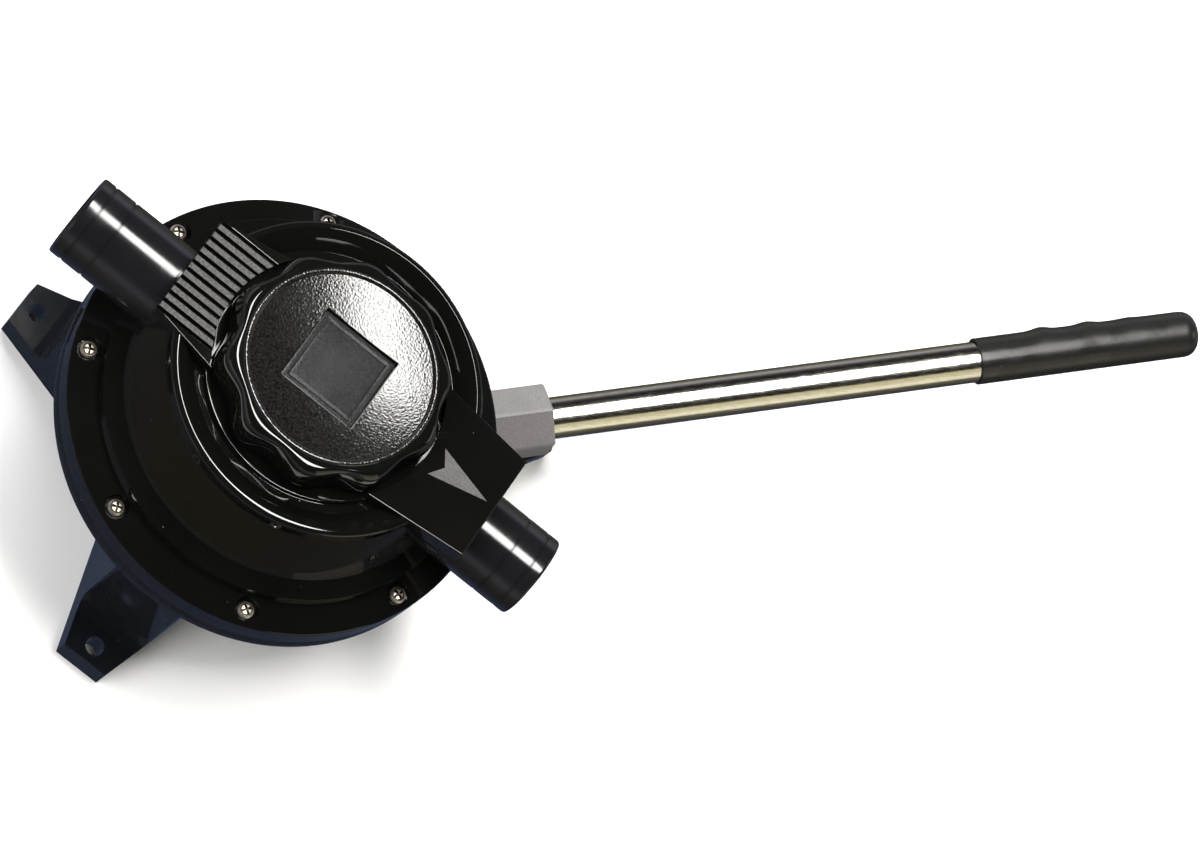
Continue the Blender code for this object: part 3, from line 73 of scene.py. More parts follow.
leverPlace = Matrix.Translation(pivot) @ Matrix.Rotation(-tilt, 4, "Y")
layDown = Matrix.Rotation(math.radians(90), 4, "Y")  # a piece turned about Z then lies along X


# Tools for shaping a piece

def pickNothing():
    bpy.ops.object.select_all(action="DESELECT")


def pickOnly(piece):
    pickNothing()
    piece.select_set(True)
    bpy.context.view_layer.objects.active = piece


def settle(piece, place=None):  # moves the piece to its place and leaves that in its mesh
    pickOnly(piece)
    if place is not None:
        piece.matrix_world = place @ piece.matrix_world
    bpy.ops.object.transform_apply(location=True, rotation=True, scale=True)
    return piece


def tidyShell(piece):
    pickOnly(piece)
    bpy.ops.object.mode_set(mode="EDIT")
    bpy.ops.mesh.select_all(action="SELECT")
    bpy.ops.mesh.remove_doubles(threshold=1e-6)
    bpy.ops.mesh.normals_make_consistent(inside=False)
    bpy.ops.object.mode_set(mode="OBJECT")
    return piece


def startCircle(name, count, radius, height, fill):
    pickNothing()
    bpy.ops.mesh.primitive_circle_add(vertices=count, radius=radius, fill_type=fill, location=(0, 0, height))
    piece = bpy.context.object
    piece.name = name
    piece.data.name = name
    return piece


def turnPiece(name, profile, sides, place=None):  # (radius, height) in mm; the rings are drawn out one by one
    points = [(radius * mm, height * mm) for radius, height in profile]
    fromPole = points[0][0] == 0
    radius, height = points[1] if fromPole else points[0]
    piece = startCircle(name, sides, radius, height, "TRIFAN" if fromPole else "NOTHING")
    if fromPole:  # the fan's middle goes to the pole's own height
        for vertex in piece.data.vertices:
            if vertex.co.xy.length < 1e-7:
                vertex.co.z = points[0][1] - height
    bpy.ops.object.mode_set(mode="EDIT")
    bpy.ops.mesh.select_mode(type="EDGE")
    if fromPole:
        bpy.ops.mesh.select_all(action="DESELECT")
        bpy.ops.mesh.select_non_manifold(extend=False, use_boundary=True, use_wire=False)
    else:
        bpy.ops.mesh.select_all(action="SELECT")
    for nextRadius, nextHeight in points[2 if fromPole else 1:]:
        bpy.ops.mesh.extrude_edges_move(TRANSFORM_OT_translate={"value": (0, 0, nextHeight - height)})
        if nextRadius == 0:
            bpy.ops.mesh.merge(type="CENTER")
            break
        grow = nextRadius / radius
        bpy.ops.transform.resize(value=(grow, grow, 1), center_override=(0, 0, nextHeight))
        radius, height = nextRadius, nextHeight
    bpy.ops.object.mode_set(mode="OBJECT")
    settle(piece, place)
    return tidyShell(piece)


def turnPlug(name, radius, low, high, sides, place=None):  # a plain round cutter
    return turnPiece(name, [(0, low), (radius, low), (radius, high), (0, high)], sides, place)


def drawPlate(name, outline, low, high, place=None):  # (x, y) in mm; a flat face drawn up into a plate
    piece = startCircle(name, len(outline), 0.01, 0, "NGON")
    for vertex, (x, y) in zip(piece.data.vertices, outline):
        vertex.co = (x * mm, y * mm, low * mm)
    bpy.ops.object.mode_set(mode="EDIT")
    bpy.ops.mesh.select_all(action="SELECT")
    rise = (0, 0, (high - low) * mm)
    bpy.ops.mesh.extrude_region_move(TRANSFORM_OT_translate={"value": rise})
    bpy.ops.object.mode_set(mode="OBJECT")
    settle(piece, place)
    return tidyShell(piece)


def oblong(left, right, near, far):
    return [(left, near), (right, near), (right, far), (left, far)]


def apply(piece, kind, **settings):
    pickOnly(piece)
    modifier = piece.modifiers.new(kind.lower(), kind)
    for key, value in settings.items():
        setattr(modifier, key, value)
    bpy.ops.object.modifier_apply(modifier=modifier.name)
    return piece


def carve(piece, cutter, operation="DIFFERENCE"):
    apply(piece, "BOOLEAN", object=cutter, operation=operation, solver="EXACT")
    bpy.data.objects.remove(cutter, do_unlink=True)
    return piece


def soften(piece, width, steps, degrees):  # rounds each edge that is sharper than this angle
    angle = math.radians(degrees)
    return apply(piece, "BEVEL", width=width * mm, segments=steps, limit_method="ANGLE", angle_limit=angle)


def softenWhere(piece, width, steps, wanted):  # wanted is asked about the two ends of each edge, in mm
    pickOnly(piece)
    bpy.ops.object.mode_set(mode="EDIT")
    bpy.ops.mesh.select_mode(type="EDGE")
    bpy.ops.mesh.select_all(action="DESELECT")
    bpy.ops.object.mode_set(mode="OBJECT")
    spots = [vertex.co / mm for vertex in piece.data.vertices]
    for edge in piece.data.edges:
        edge.select = wanted(spots[edge.vertices[0]], spots[edge.vertices[1]])
    bpy.ops.object.mode_set(mode="EDIT")
    bpy.ops.mesh.bevel(offset=width * mm, segments=steps, affect="EDGES")
    bpy.ops.object.mode_set(mode="OBJECT")
    return piece


def smooth(piece, degrees):
    pickOnly(piece)
    bpy.ops.object.shade_smooth_by_angle(angle=math.radians(degrees), keep_sharp_edges=False)
    return piece


def weigh(piece):  # broad flat faces stay flat up to their rounded edges
    return apply(piece, "WEIGHTED_NORMAL", keep_sharp=True, weight=60)


def joinPieces(first, others):
    pickOnly(first)
    for piece in others:
        piece.select_set(True)
    bpy.ops.object.join()
    return first


def copyPiece(piece, name, place):
    pickOnly(piece)
    bpy.ops.object.duplicate()
    made = bpy.context.object
    made.name = name
    made.data.name = name
    return settle(made, place)


def dress(piece, finish, body, stands=()):
    piece.data.materials.clear()
    piece.data.materials.append(finish)
    if body:
        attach(piece, body)
    if stands:
        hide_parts(*stands)


def paintFaces(piece, finish, wanted):  # wanted is asked about a face's middle, in mm, and its normal
    piece.data.materials.append(finish)
    index = len(piece.data.materials) - 1
    for face in piece.data.polygons:
        if wanted(face.center / mm, face.normal):
            face.material_index = index


# Shader tools

class Wire:  # one socket; sums and products of wires add their own Math nodes
    def __init__(self, socket):
        self.socket = socket

    def math(self, operation, first, second):
        tree = self.socket.id_data
        node = tree.nodes.new("ShaderNodeMath")
        node.operation = operation
        for place, value in zip(node.inputs, (first, second)):
            if isinstance(value, Wire):
                tree.links.new(value.socket, place)
            else:
                place.default_value = value
        return Wire(node.outputs[0])

    def __add__(self, other):
        return self.math("ADD", self, other)

    def __radd__(self, other):
        return self.math("ADD", other, self)

    def __rsub__(self, other):
        return self.math("SUBTRACT", other, self)

    def __mul__(self, other):
        return self.math("MULTIPLY", self, other)

    def __lt__(self, other):
        return self.math("LESS_THAN", self, other)


class Finish:  # one material, or the studio's own light, built node by node
    def __init__(self, name, world=False):
        self.material = bpy.data.worlds.new(name) if world else bpy.data.materials.new(name)
        self.material.use_nodes = True
        self.tree = self.material.node_tree
        self.tree.nodes.clear()
        self.spot = self.node("TexCoord", output="Generated" if world else "Object")

    def node(self, kind, settings=None, sockets=None, output=0):
        made = self.tree.nodes.new("ShaderNode" + kind)
        for key, value in (settings or {}).items():
            if key == "stops":
                stops = made.color_ramp.elements
                for i, (position, colour) in enumerate(value):
                    stop = stops[i] if i < 2 else stops.new(position)
                    stop.position = position
                    stop.color = (*colour, 1)
            else:
                setattr(made, key, value)
        for key, value in (sockets or {}).items():
            if isinstance(value, Wire):
                self.tree.links.new(value.socket, made.inputs[key])
            else:
                made.inputs[key].default_value = value
        return Wire(made.outputs[output]) if made.outputs else None

    def stretched(self, scale, turn):
        return self.node("Mapping", {}, {"Vector": self.spot, "Scale": scale, "Rotation": turn})

    def noise(self, size, detail, spot=None, rough=0.5):  # size in mm
        sockets = {"Vector": spot or self.spot, "Scale": 1 / (size * mm)}
        sockets |= {"Detail": detail, "Roughness": rough}
        return self.node("TexNoise", {}, sockets, "Fac")

    def ramp(self, fac, low, high):
        return self.node("ValToRGB", {"stops": [(low, (0, 0, 0)), (high, (1, 1, 1))]}, {"Fac": fac})

    def blend(self, fac, first, second):
        sockets = {0: fac, 6: first if isinstance(first, Wire) else (*first, 1)}
        sockets[7] = second if isinstance(second, Wire) else (*second, 1)
        return self.node("Mix", {"data_type": "RGBA"}, sockets, 2)

    def bump(self, height, depth, strength=1.0, under=None):  # depth in mm
        sockets = {"Height": height, "Distance": depth * mm, "Strength": strength}
        if under:
            sockets["Normal"] = under
        return self.node("Bump", {}, sockets)

    def specks(self, size, share):  # dust: one small dot in a share of the cells
        sockets = {"Vector": self.spot, "Scale": 1 / (size * mm)}
        distance = self.node("TexVoronoi", {}, sockets, "Distance")
        colour = self.node("TexVoronoi", {}, sockets, "Color")
        chance = self.node("SeparateColor", {}, {"Color": colour}, 0)
        return (distance < 0.07) * (chance < share)

    def done(self, sockets):
        shader = self.node("BsdfPrincipled", {}, sockets)
        self.node("OutputMaterial", {}, {"Surface": shader})
        return self.material


print("materials")

plasticLook = {  # haze is how much duller the rubbed patches are
    "gloss": {
        "shade": (0.0022, 0.0022, 0.0020), "light": (0.0042, 0.0041, 0.0038),
        "rough": 0.035, "haze": 0.035,
    },
    "tail": {
        "shade": (0.0050, 0.0048, 0.0056), "light": (0.0090, 0.0086, 0.0100),
        "rough": 0.115, "haze": 0.06,
    },
    # frame: its faint blue tint is partly the moulding's own tone and partly a painted reflection of blue
    # light from below
    "frame": {
        "shade": (0.0040, 0.0044, 0.0056), "light": (0.0075, 0.0082, 0.0105),
        "rough": 0.045, "haze": 0.02,
    },
}
grainLook = {  # grain and its depth in mm
    "knob": {
        "shade": (0.002, 0.002, 0.002), "light": (0.014, 0.013, 0.011),
        "rough": 0.17, "grain": 1.0, "depth": 0.12,
    },
    "rib": {
        "shade": (0.010, 0.010, 0.009), "light": (0.080, 0.077, 0.070),
        "rough": 0.62, "grain": 0.9, "depth": 0.14,
    },
    "panel": {
        "shade": (0.006, 0.006, 0.007), "light": (0.014, 0.014, 0.015),
        "rough": 0.15, "grain": 1.6, "depth": 0.02,
    },
}
steelLook = {  # the streaks run along X, turned by this much
    "tube": {
        "turn": (0, tilt, 0), "shade": (0.62, 0.59, 0.50), "light": (0.84, 0.82, 0.75),
        "rough": 0.15, "streak": 0.7,
    },
    # recess: a darker steel painted inside each screw's cross as painted shade in the recess
    "recess": {
        "turn": (0, 0, 0.4), "shade": (0.05, 0.04, 0.03), "light": (0.10, 0.08, 0.06),
        "rough": 0.5, "streak": 0.6,
    },
    "screw": {
        "turn": (0, 0, 0.4), "shade": (0.62, 0.55, 0.46), "light": (0.86, 0.80, 0.71),
        "rough": 0.34, "streak": 0.6,
    },
    "brass": {
        "turn": (0, 0, 0), "shade": (0.60, 0.42, 0.18), "light": (0.80, 0.62, 0.30),
        "rough": 0.26, "streak": 0.6,
    },
}
speckLook = {
    "arrow": {"shade": (0.030, 0.028, 0.028), "light": (0.110, 0.103, 0.100), "rough": 0.50},
    "socket": {"shade": (0.130, 0.122, 0.124), "light": (0.235, 0.224, 0.222), "rough": 0.42},
}


def makePlastic(name, look):  # glossy moulding with faint flow, rubbed patches, hair scratches and dust
    f = Finish(name)
    flowMark = f.noise(34, 3.0)
    patch = f.ramp(f.noise(22, 4.0, rough=0.6), 0.50, 0.72)
    scratchA = f.ramp(f.noise(1.0, 2.0, f.stretched((0.02, 1.0, 0.02), (0, 0, 0.6))), 0.70, 0.78)
    scratchB = f.ramp(f.noise(1.3, 2.0, f.stretched((1.0, 0.02, 0.02), (0, 0, -0.3))), 0.71, 0.78)
    scratch = scratchA * patch + scratchB * patch
    dust = f.specks(4.2, 0.06)
    base = f.blend(flowMark, look["shade"], look["light"])
    base = f.blend(dust * 0.5, base, (0.16, 0.15, 0.13))
    rough = look["rough"] + patch * look["haze"] + flowMark * 0.03 + scratch * 0.10 + dust * 0.3
    relief = f.bump(f.noise(9, 2.0), 0.012, 0.5)
    relief = f.bump(scratch, 0.006, 0.6, relief)
    return f.done({"Base Color": base, "Roughness": rough, "Normal": relief, "IOR": 1.53})


def makeGrained(name, look):  # satin moulding with an etched grain
    f = Finish(name)
    fine = f.noise(look["grain"], 1.0, rough=0.6)
    coarse = f.noise(look["grain"] * 4.2, 3.0)
    cloud = f.noise(18, 2.0)
    base = f.blend(f.ramp(fine, 0.35, 0.70), look["shade"], look["light"])
    relief = f.bump(fine + coarse * 0.12, look["depth"])
    rough = look["rough"] - 0.03 + cloud * 0.06
    return f.done({"Base Color": base, "Roughness": rough, "Normal": relief, "IOR": 1.6})


def makeSteel(name, look):  # drawn and polished metal with faint stains
    f = Finish(name)
    lined = f.stretched((0.012, 1.0, 1.0), look["turn"])
    lines = f.noise(look["streak"], 3.0, lined, 0.6)
    cloud = f.noise(30, 3.0)
    stain = f.ramp(f.noise(7, 4.0), 0.62, 0.80)
    base = f.blend(f.ramp(lines, 0.30, 0.75), look["shade"], look["light"])
    base = f.blend(stain * 0.35, base, (0.52, 0.45, 0.34))
    rough = look["rough"] - 0.04 + f.ramp(lines, 0.35, 0.8) * 0.10 + cloud * 0.05 + stain * 0.08
    relief = f.bump(lines, 0.003, 0.6)
    return f.done({"Base Color": base, "Metallic": 1.0, "Roughness": rough, "Normal": relief})


def makeSpeckled(name, look):  # grey moulding with a salt-and-pepper surface and darker clouds
    f = Finish(name)
    fine = f.noise(0.55, 2.0, rough=0.7)
    cloud = f.noise(11, 3.0)
    drawn = f.noise(0.9, 2.0, f.stretched((0.05, 1.0, 1.0), (0, tilt, 0)))
    base = f.blend(f.ramp(fine, 0.30, 0.72), look["shade"], look["light"])
    base = f.blend(cloud * 0.35, base, tuple(0.62 * shade for shade in look["shade"]))
    relief = f.bump(fine + drawn * 0.6, 0.035, 0.7)
    rough = look["rough"] + cloud * 0.12
    return f.done({"Base Color": base, "Roughness": rough, "Normal": relief, "IOR": 1.48})


def makeVinyl(name):  # dipped vinyl grip: satin, slightly uneven, rubbed glossy in patches
    f = Finish(name)
    skin = f.noise(0.8, 3.0, rough=0.6)
    uneven = f.noise(13, 2.0)
    rubbed = f.ramp(uneven, 0.42, 0.68)
    base = f.blend(uneven, (0.0065, 0.0065, 0.0063), (0.0140, 0.0138, 0.0130))
    base = f.blend(f.specks(4.4, 0.06) * 0.5, base, (0.15, 0.14, 0.13))
    relief = f.bump(skin, 0.012, 0.5, f.bump(uneven, 0.15, 0.5))
    rough = 0.30 - rubbed * 0.14 + skin * 0.05
    return f.done({"Base Color": base, "Roughness": rough, "Normal": relief, "IOR": 1.5})


def makeRubber(name):  # moulded sheet with a pale bloom
    f = Finish(name)
    fine = f.noise(0.7, 3.0)
    bloom = f.noise(14, 4.0)
    base = f.blend(f.ramp(bloom, 0.4, 0.75), (0.014, 0.014, 0.014), (0.040, 0.040, 0.041))
    return f.done({"Base Color": base, "Roughness": 0.62 + bloom * 0.2, "Normal": f.bump(fine, 0.03, 0.6)})


def makeNylon(name):
    f = Finish(name)
    fine = f.noise(0.9, 2.0)
    cloud = f.noise(12, 3.0)
    base = f.blend(cloud, (0.50, 0.48, 0.42), (0.66, 0.64, 0.58))
    return f.done({"Base Color": base, "Roughness": 0.42 + cloud * 0.15, "Normal": f.bump(fine, 0.02, 0.5)})


def makeFloor(name):
    f = Finish(name)
    cloud = f.noise(260, 3.0)
    base = f.blend(cloud, (0.86, 0.86, 0.855), (0.90, 0.90, 0.895))
    return f.done({"Base Color": base, "Roughness": 0.80 + cloud * 0.1, "Specular IOR Level": 0.15})


glossBlack = makePlastic("glossBlack", plasticLook["gloss"])
frameBlack = makePlastic("frameBlack", plasticLook["frame"])
tailBlack = makePlastic("tailBlack", plasticLook["tail"])
knobGrain = makeGrained("knobGrain", grainLook["knob"])
ribGrain = makeGrained("ribGrain", grainLook["rib"])
panelBlack = makeGrained("panelBlack", grainLook["panel"])
arrowGrey = makeSpeckled("arrowGrey", speckLook["arrow"])
socketGrey = makeSpeckled("socketGrey", speckLook["socket"])
tubeSteel = makeSteel("tubeSteel", steelLook["tube"])
crossShadeSteel = makeSteel("crossShadeSteel", steelLook["recess"])
screwSteel = makeSteel("screwSteel", steelLook["screw"])
brass = makeSteel("brass", steelLook["brass"])
gripVinyl = makeVinyl("gripVinyl")
rubber = makeRubber("rubber")
nylon = makeNylon("nylon")
floorPaper = makeFloor("floorPaper")


print("pump body")

bodyShape = {  # mm; the section is (radius, height), from the axis under the valve floor out, up and back
    "sides": 160,
    "chamber": [
        (0, 91.3), (71.7, 91.3), (72.7, 93.8), (78.3, 93.8), (79.2, 91.8), (79.2, 79.0), (79.0, 75.0),
    ],
    "flange": [(95.7, 75.0), (96.0, 75.3), (96.0, 86.0), (95.86, 86.45), (95.5, 86.78), (95.0, 86.98)],
    "shoulder": [
        (83.62, 91.1), (83.6, 91.2), (83.6, 96.7), (83.57, 96.86), (83.47, 96.96), (82.8, 97.2),
        (76.4, 99.54), (75.7, 99.8),
    ],
    "cone": [(75.0, 102.4), (67.2, 129.2), (67.0, 130.1), (66.7, 130.45), (66.2, 130.6)],
    "mouth": [(62.5, 130.6), (62.5, 126.8), (71.4, 102.1), (71.4, 95.8), (70.9, 95.3), (0, 95.3)],
    "tailRadius": 19.0, "tailReach": 121.5, "tailHeight": 111.3, "tailSides": 96,
    "grooves": (104.9, 115.3),  # middles of the two hose grooves, from the pump's axis
    "grooveWidth": 1.1, "grooveDeep": 0.5,
    "bore": 15.5, "boreFoot": 52.0, "boreFlare": 0.9, "boreSides": 80,
    "valveRadius": 15.0, "valveSpot": 37.0, "valveLow": 88.0, "valveHigh": 99.0,
    "webNear": 79.3, "webFar": 88.5, "webHalf": 9.0, "webLow": 86.1, "webHigh": 95.8,  # under each tail
    "screwCircle": 89.3, "screwSeat": 87.05, "screwRecess": 5.2,
    "dullFrom": 70.0,  # the tails are duller than the body from here on
}


def screwSpots(circle):
    for i in range(8):
        yield Matrix.Rotation(math.radians(22.5 + 45 * i), 4, "Z") @ Matrix.Translation((circle * mm, 0, 0))


def tailPlace(b):
    return flowPlace @ Matrix.Translation((0, 0, b["tailHeight"] * mm)) @ layDown


def tailCore(b):  # both tails in one turned bar along the flow line, with hose grooves and rounded ends
    radius, reach, half, deep = b["tailRadius"], b["tailReach"], b["grooveWidth"] / 2, b["grooveDeep"]
    side = [(radius, 0)]
    for middle in b["grooves"]:
        side += [(radius, middle - half), (radius - deep, middle - 0.4 * half)]
        side += [(radius - deep, middle + 0.4 * half), (radius, middle + half)]
    side += [(radius, reach - 1.3), (radius - 0.15, reach - 0.7), (radius - 0.5, reach - 0.2)]
    side += [(radius - 1.1, reach), (0, reach)]
    whole = [(r, -z) for r, z in reversed(side[1:])] + side[1:]
    return turnPiece("tailCore", whole, b["tailSides"], tailPlace(b))


def tailBore(b, side):  # flared at the tail's end
    bore, flared, reach = b["bore"], b["bore"] + b["boreFlare"], b["tailReach"]
    section = [
        (0, b["boreFoot"]), (bore, b["boreFoot"]), (bore, reach - 0.7), (flared, reach + 0.2),
        (flared, reach + 4), (0, reach + 4),
    ]
    return turnPiece("tailBore", [(r, side * z) for r, z in section], b["boreSides"], tailPlace(b))


def tailWeb(b, side):
    near, far = sorted((side * b["webNear"], side * b["webFar"]))
    outline = oblong(near, far, -b["webHalf"], b["webHalf"])
    return soften(drawPlate("tailWeb", outline, b["webLow"], b["webHigh"], flowPlace), 1.0, 2, 60)


def valveHole(b, side):
    place = flowPlace @ Matrix.Translation((side * b["valveSpot"] * mm, 0, 0))
    return turnPlug("valveHole", b["valveRadius"], b["valveLow"], b["valveHigh"], 64, place)


def makeBody(b):
    section = b["chamber"] + b["flange"] + b["shoulder"] + b["cone"] + b["mouth"]
    body = turnPiece("pumpShell", section, b["sides"])
    carve(body, tailCore(b), "UNION")
    for side in (-1, 1):
        carve(body, tailWeb(b, side), "UNION")
        carve(body, tailBore(b, side))
        carve(body, valveHole(b, side))
    seat, recess = b["screwSeat"], b["screwRecess"]
    cup = [(0, seat), (recess - 0.5, seat), (recess, seat + 0.5), (recess + 0.05, seat + 8), (0, seat + 8)]
    cutter = turnPiece("screwSeat", cup, 40)
    for place in screwSpots(b["screwCircle"]):
        carve(body, copyPiece(cutter, "seatCut", place))
    bpy.data.objects.remove(cutter)
    return body


def onTails(middle, normal):  # the tails' outside
    spot = flowPlace.inverted() @ middle
    fromAxis = math.hypot(spot.y, spot.z - bodyShape["tailHeight"])
    return abs(spot.x) > bodyShape["dullFrom"] and abs(fromAxis - bodyShape["tailRadius"] + 0.2) < 0.5


body = weigh(smooth(makeBody(bodyShape), 30))
dress(body, glossBlack, "frame", ["pump_body"])
paintFaces(body, tailBlack, onTails)


print("body screws")

screwShape = {
    "head": 3.7, "headHeight": 2.4, "shank": 2.0, "length": 17.0, "lift": 0.3,
    "arm": 2.75, "slot": 0.72, "deep": 1.6, "narrow": 0.6,  # the cross in its head
}


def makeScrew(s):
    head, shank, seat, top = s["head"], s["shank"], s["lift"], s["lift"] + s["headHeight"]
    foot = seat - s["length"]
    profile = [
        (0, foot), (shank - 0.4, foot), (shank, foot + 0.4), (shank, seat), (head - 0.15, seat),
        (head, seat + 0.2), (head, seat + 1.0), (head - 0.15, seat + 1.4), (head - 0.45, seat + 1.75),
        (head - 0.9, seat + 1.98), (head - 1.6, seat + 2.15), (1.0, top - 0.02), (0, top),
    ]
    screw = turnPiece("screwMaster", profile, 40)
    for turn in (0, 90):
        outline = oblong(-s["arm"], s["arm"], -s["slot"], s["slot"])
        place = Matrix.Rotation(math.radians(turn), 4, "Z")
        bar = drawPlate("crossBar", outline, top - s["deep"], top + 1.5, place)
        for vertex in bar.data.vertices:  # the cross narrows towards its foot
            if vertex.co.z < top * mm:
                vertex.co.x *= s["narrow"]
                vertex.co.y *= s["narrow"]
        carve(screw, bar)
    return screw


def inCross(axis, middle, normal):
    top = bodyShape["screwSeat"] + screwShape["lift"] + screwShape["headHeight"]
    near = (middle.xy - axis.xy).length < screwShape["arm"] + 0.1
    return near and top - screwShape["deep"] - 0.1 < middle.z < top - 0.2


master = smooth(makeScrew(screwShape), 35)
random.seed(7)
for i, place in enumerate(screwSpots(bodyShape["screwCircle"])):
    twist = Matrix.Rotation(random.uniform(0, 1.5), 4, "Z")
    lift = Matrix.Translation((0, 0, bodyShape["screwSeat"] * mm))
    screw = copyPiece(master, f"bodyScrew{i + 1}", place @ lift @ twist)
    dress(screw, screwSteel, "frame", [f"cover_screw_{i + 1}"])
    # the faces inside the cross take the darker steel: painted shade in the recess
    paintFaces(screw, crossShadeSteel, partial(inCross, place.translation / mm))
bpy.data.objects.remove(master)


print("inspection cover")

coverShape = {
    "radius": 68.3, "foot": 128.5, "plug": 62.2, "seat": 132.3, "rim": 139.8, "dish": 134.2, "sides": 176,
    "collar": 52.9, "collarTop": 137.1, "well": 51.5, "floor": 136.0, "studHole": 4.6, "studTop": 130.0,
    "barTop": 140.5, "barRound": 0.55, "ribEnd": -74.0, "arrowEnd": 87.5,
    "waist": 39.0,  # where the bar's outline bends; it lies inside the well
    "ribHalf": 24.8, "waistHalf": 31.5, "arrowHalf": 26.2,
    "ribs": 11, "pitch": 4.4, "ribStart": -30.0, "groove": 1.55, "grooveDeep": 1.6, "ribRound": 0.45,
    "relief": 138.0, "reliefStart": -50.0,  # there the disc gives way, or its rim would show in the grooves
}
arrowShape = {
    "tip": 83.2, "tail": 56.0, "notch": 60.5, "half": 7.2, "low": 140.2, "high": 141.0, "round": 0.2,
}


def makeCoverDisc(c):
    r, foot, plug, seat, rim, dish = c["radius"], c["foot"], c["plug"], c["seat"], c["rim"], c["dish"]
    collar, top, well, floor, hole = c["collar"], c["collarTop"], c["well"], c["floor"], c["studHole"]
    profile = [
        (0, foot), (plug - 0.4, foot), (plug, foot + 0.4), (plug, seat), (r - 0.6, seat), (r, seat + 0.6),
        (r, rim - 2.0), (r - 0.1, rim - 1.45), (r - 0.35, rim - 0.95), (r - 0.75, rim - 0.6),
        (r - 1.3, rim - 0.34), (r - 1.9, rim - 0.14), (r - 2.5, rim - 0.02), (r - 2.9, rim - 0.02),
        (r - 3.1, rim - 0.08), (r - 3.3, rim - 0.2), (r - 3.6, rim - 0.4), (r - 7.0, rim - 2.4),
        (r - 11.6, dish + 0.04), (r - 11.7, dish), (r - 12.0, dish), (collar + 0.6, dish),
        (collar + 0.2, dish), (collar + 0.05, dish + 0.06), (collar, dish + 0.2), (collar, top - 0.2),
        (collar - 0.05, top - 0.05), (collar - 0.2, top), (well + 0.2, top), (well + 0.05, top - 0.05),
        (well, top - 0.2), (well, floor), (10, floor), (hole, floor), (hole, c["studTop"]), (0, c["studTop"]),
    ]
    return turnPiece("coverDisc", profile, c["sides"])


def makeCoverBar(c):
    top, waist = c["barTop"], c["waist"]
    outline = [
        (c["ribEnd"], -c["ribHalf"]), (-waist, -c["waistHalf"]), (waist, -c["waistHalf"]),
        (c["arrowEnd"], -c["arrowHalf"]), (c["arrowEnd"], c["arrowHalf"]), (waist, c["waistHalf"]),
        (-waist, c["waistHalf"]), (c["ribEnd"], c["ribHalf"]),
    ]
    bar = soften(drawPlate("coverBar", outline, c["seat"], top), c["barRound"], 4, 40)
    carve(bar, turnPlug("wellCut", c["well"], 130, 145, c["sides"]))
    cuts = []
    half = c["groove"] / 2
    for i in range(c["ribs"] + 1):  # one groove each side of every rib
        middle = (i - c["ribs"] / 2) * c["pitch"]
        slot = oblong(c["ribEnd"] - 5, c["ribStart"], middle - half, middle + half)
        cuts.append(drawPlate("ribCut", slot, top - c["grooveDeep"], top + 3))
    carve(bar, joinPieces(cuts[0], cuts[1:]))

    def ribEdge(a, b):
        flat = abs(a.z - top) < 0.02 and abs(b.z - top) < 0.02
        lengthwise = abs(a.x - b.x) > 3 and abs(a.y - b.y) < 0.05
        return flat and lengthwise and max(a.x, b.x) < c["ribStart"]

    softenWhere(bar, c["ribRound"], 3, ribEdge)
    return settle(bar, flowPlace)


def ribsHalf(c):
    return c["ribs"] / 2 * c["pitch"]


def makeCover(c):
    disc = makeCoverDisc(c)
    half = ribsHalf(c) + 0.5
    relief = oblong(c["ribEnd"] - 4, c["reliefStart"], -half, half)
    carve(disc, drawPlate("rimCut", relief, c["relief"], 145, flowPlace))
    return joinPieces(disc, [makeCoverBar(c)])


def onRibs(middle, normal):
    spot = flowPlace.inverted() @ middle
    high = spot.z > coverShape["barTop"] - 0.2 and normal.z > 0.95
    return high and spot.x < -40 and abs(spot.y) < ribsHalf(coverShape)


def makeArrow(a):
    outline = [(a["tip"], 0), (a["tail"], a["half"]), (a["notch"], 0), (a["tail"], -a["half"])]
    arrow = soften(drawPlate("flowArrow", outline, a["low"], a["high"]), a["round"], 2, 50)
    return settle(arrow, flowPlace)


cover = makeCover(coverShape)
cover.name = "clampCover"
weigh(smooth(cover, 30))
dress(cover, glossBlack, "frame", ["inspection_cover"])
paintFaces(cover, ribGrain, onRibs)
arrow = weigh(smooth(makeArrow(arrowShape), 30))
dress(arrow, arrowGrey, "frame")


print("clamp knob")

knobShape = {
    "sides": 240, "lobes": 10, "lobeDeep": 1.9, "phase": -10.0, "inside": 149.1, "face": 155.3,
    "rings": [  # radius, height and share of the lobes, from the insert's hole round the skirt to the dish
        (7.3, 149.1, 0), (7.3, 138.0, 0), (13.0, 138.0, 0), (13.0, 149.1, 0), (40.4, 149.2, 0),
        (42.6, 147.0, 0.5), (44.8, 138.9, 0.9), (45.1, 138.6, 0.9), (47.9, 138.6, 1), (48.2, 138.72, 1),
        (48.35, 139.0, 1), (48.3, 141.0, 1), (48.25, 144.0, 1), (48.15, 147.0, 0.95), (47.95, 149.5, 0.9),
        (47.55, 151.4, 0.85), (47.1, 152.5, 0.76), (46.6, 153.25, 0.66), (46.0, 153.82, 0.56),
        (45.4, 154.17, 0.48), (44.85, 154.35, 0.4), (44.3, 154.42, 0.34), (44.05, 154.43, 0.3),
        (43.0, 154.43, 0.04), (42.7, 154.43, 0), (42.35, 154.98, 0), (42.1, 155.2, 0), (41.75, 155.3, 0),
        (41.15, 155.3, 0), (40.8, 155.18, 0), (40.4, 154.85, 0), (39.9, 154.46, 0),
    ],
    "dish": 39.6, "dishEdge": 154.4, "dishDeep": 4.3,
    "dishShares": (1, 0.95, 0.9, 0.8, 0.7, 0.6, 0.5, 0.4, 0.3, 0.2, 0.1),
    "grainTo": 41.9, "grainFrom": 150.2,  # the grain's outer radius and lowest height
    "recess": 37.3, "recessDeep": 0.6, "recessTurn": 45.0,
}
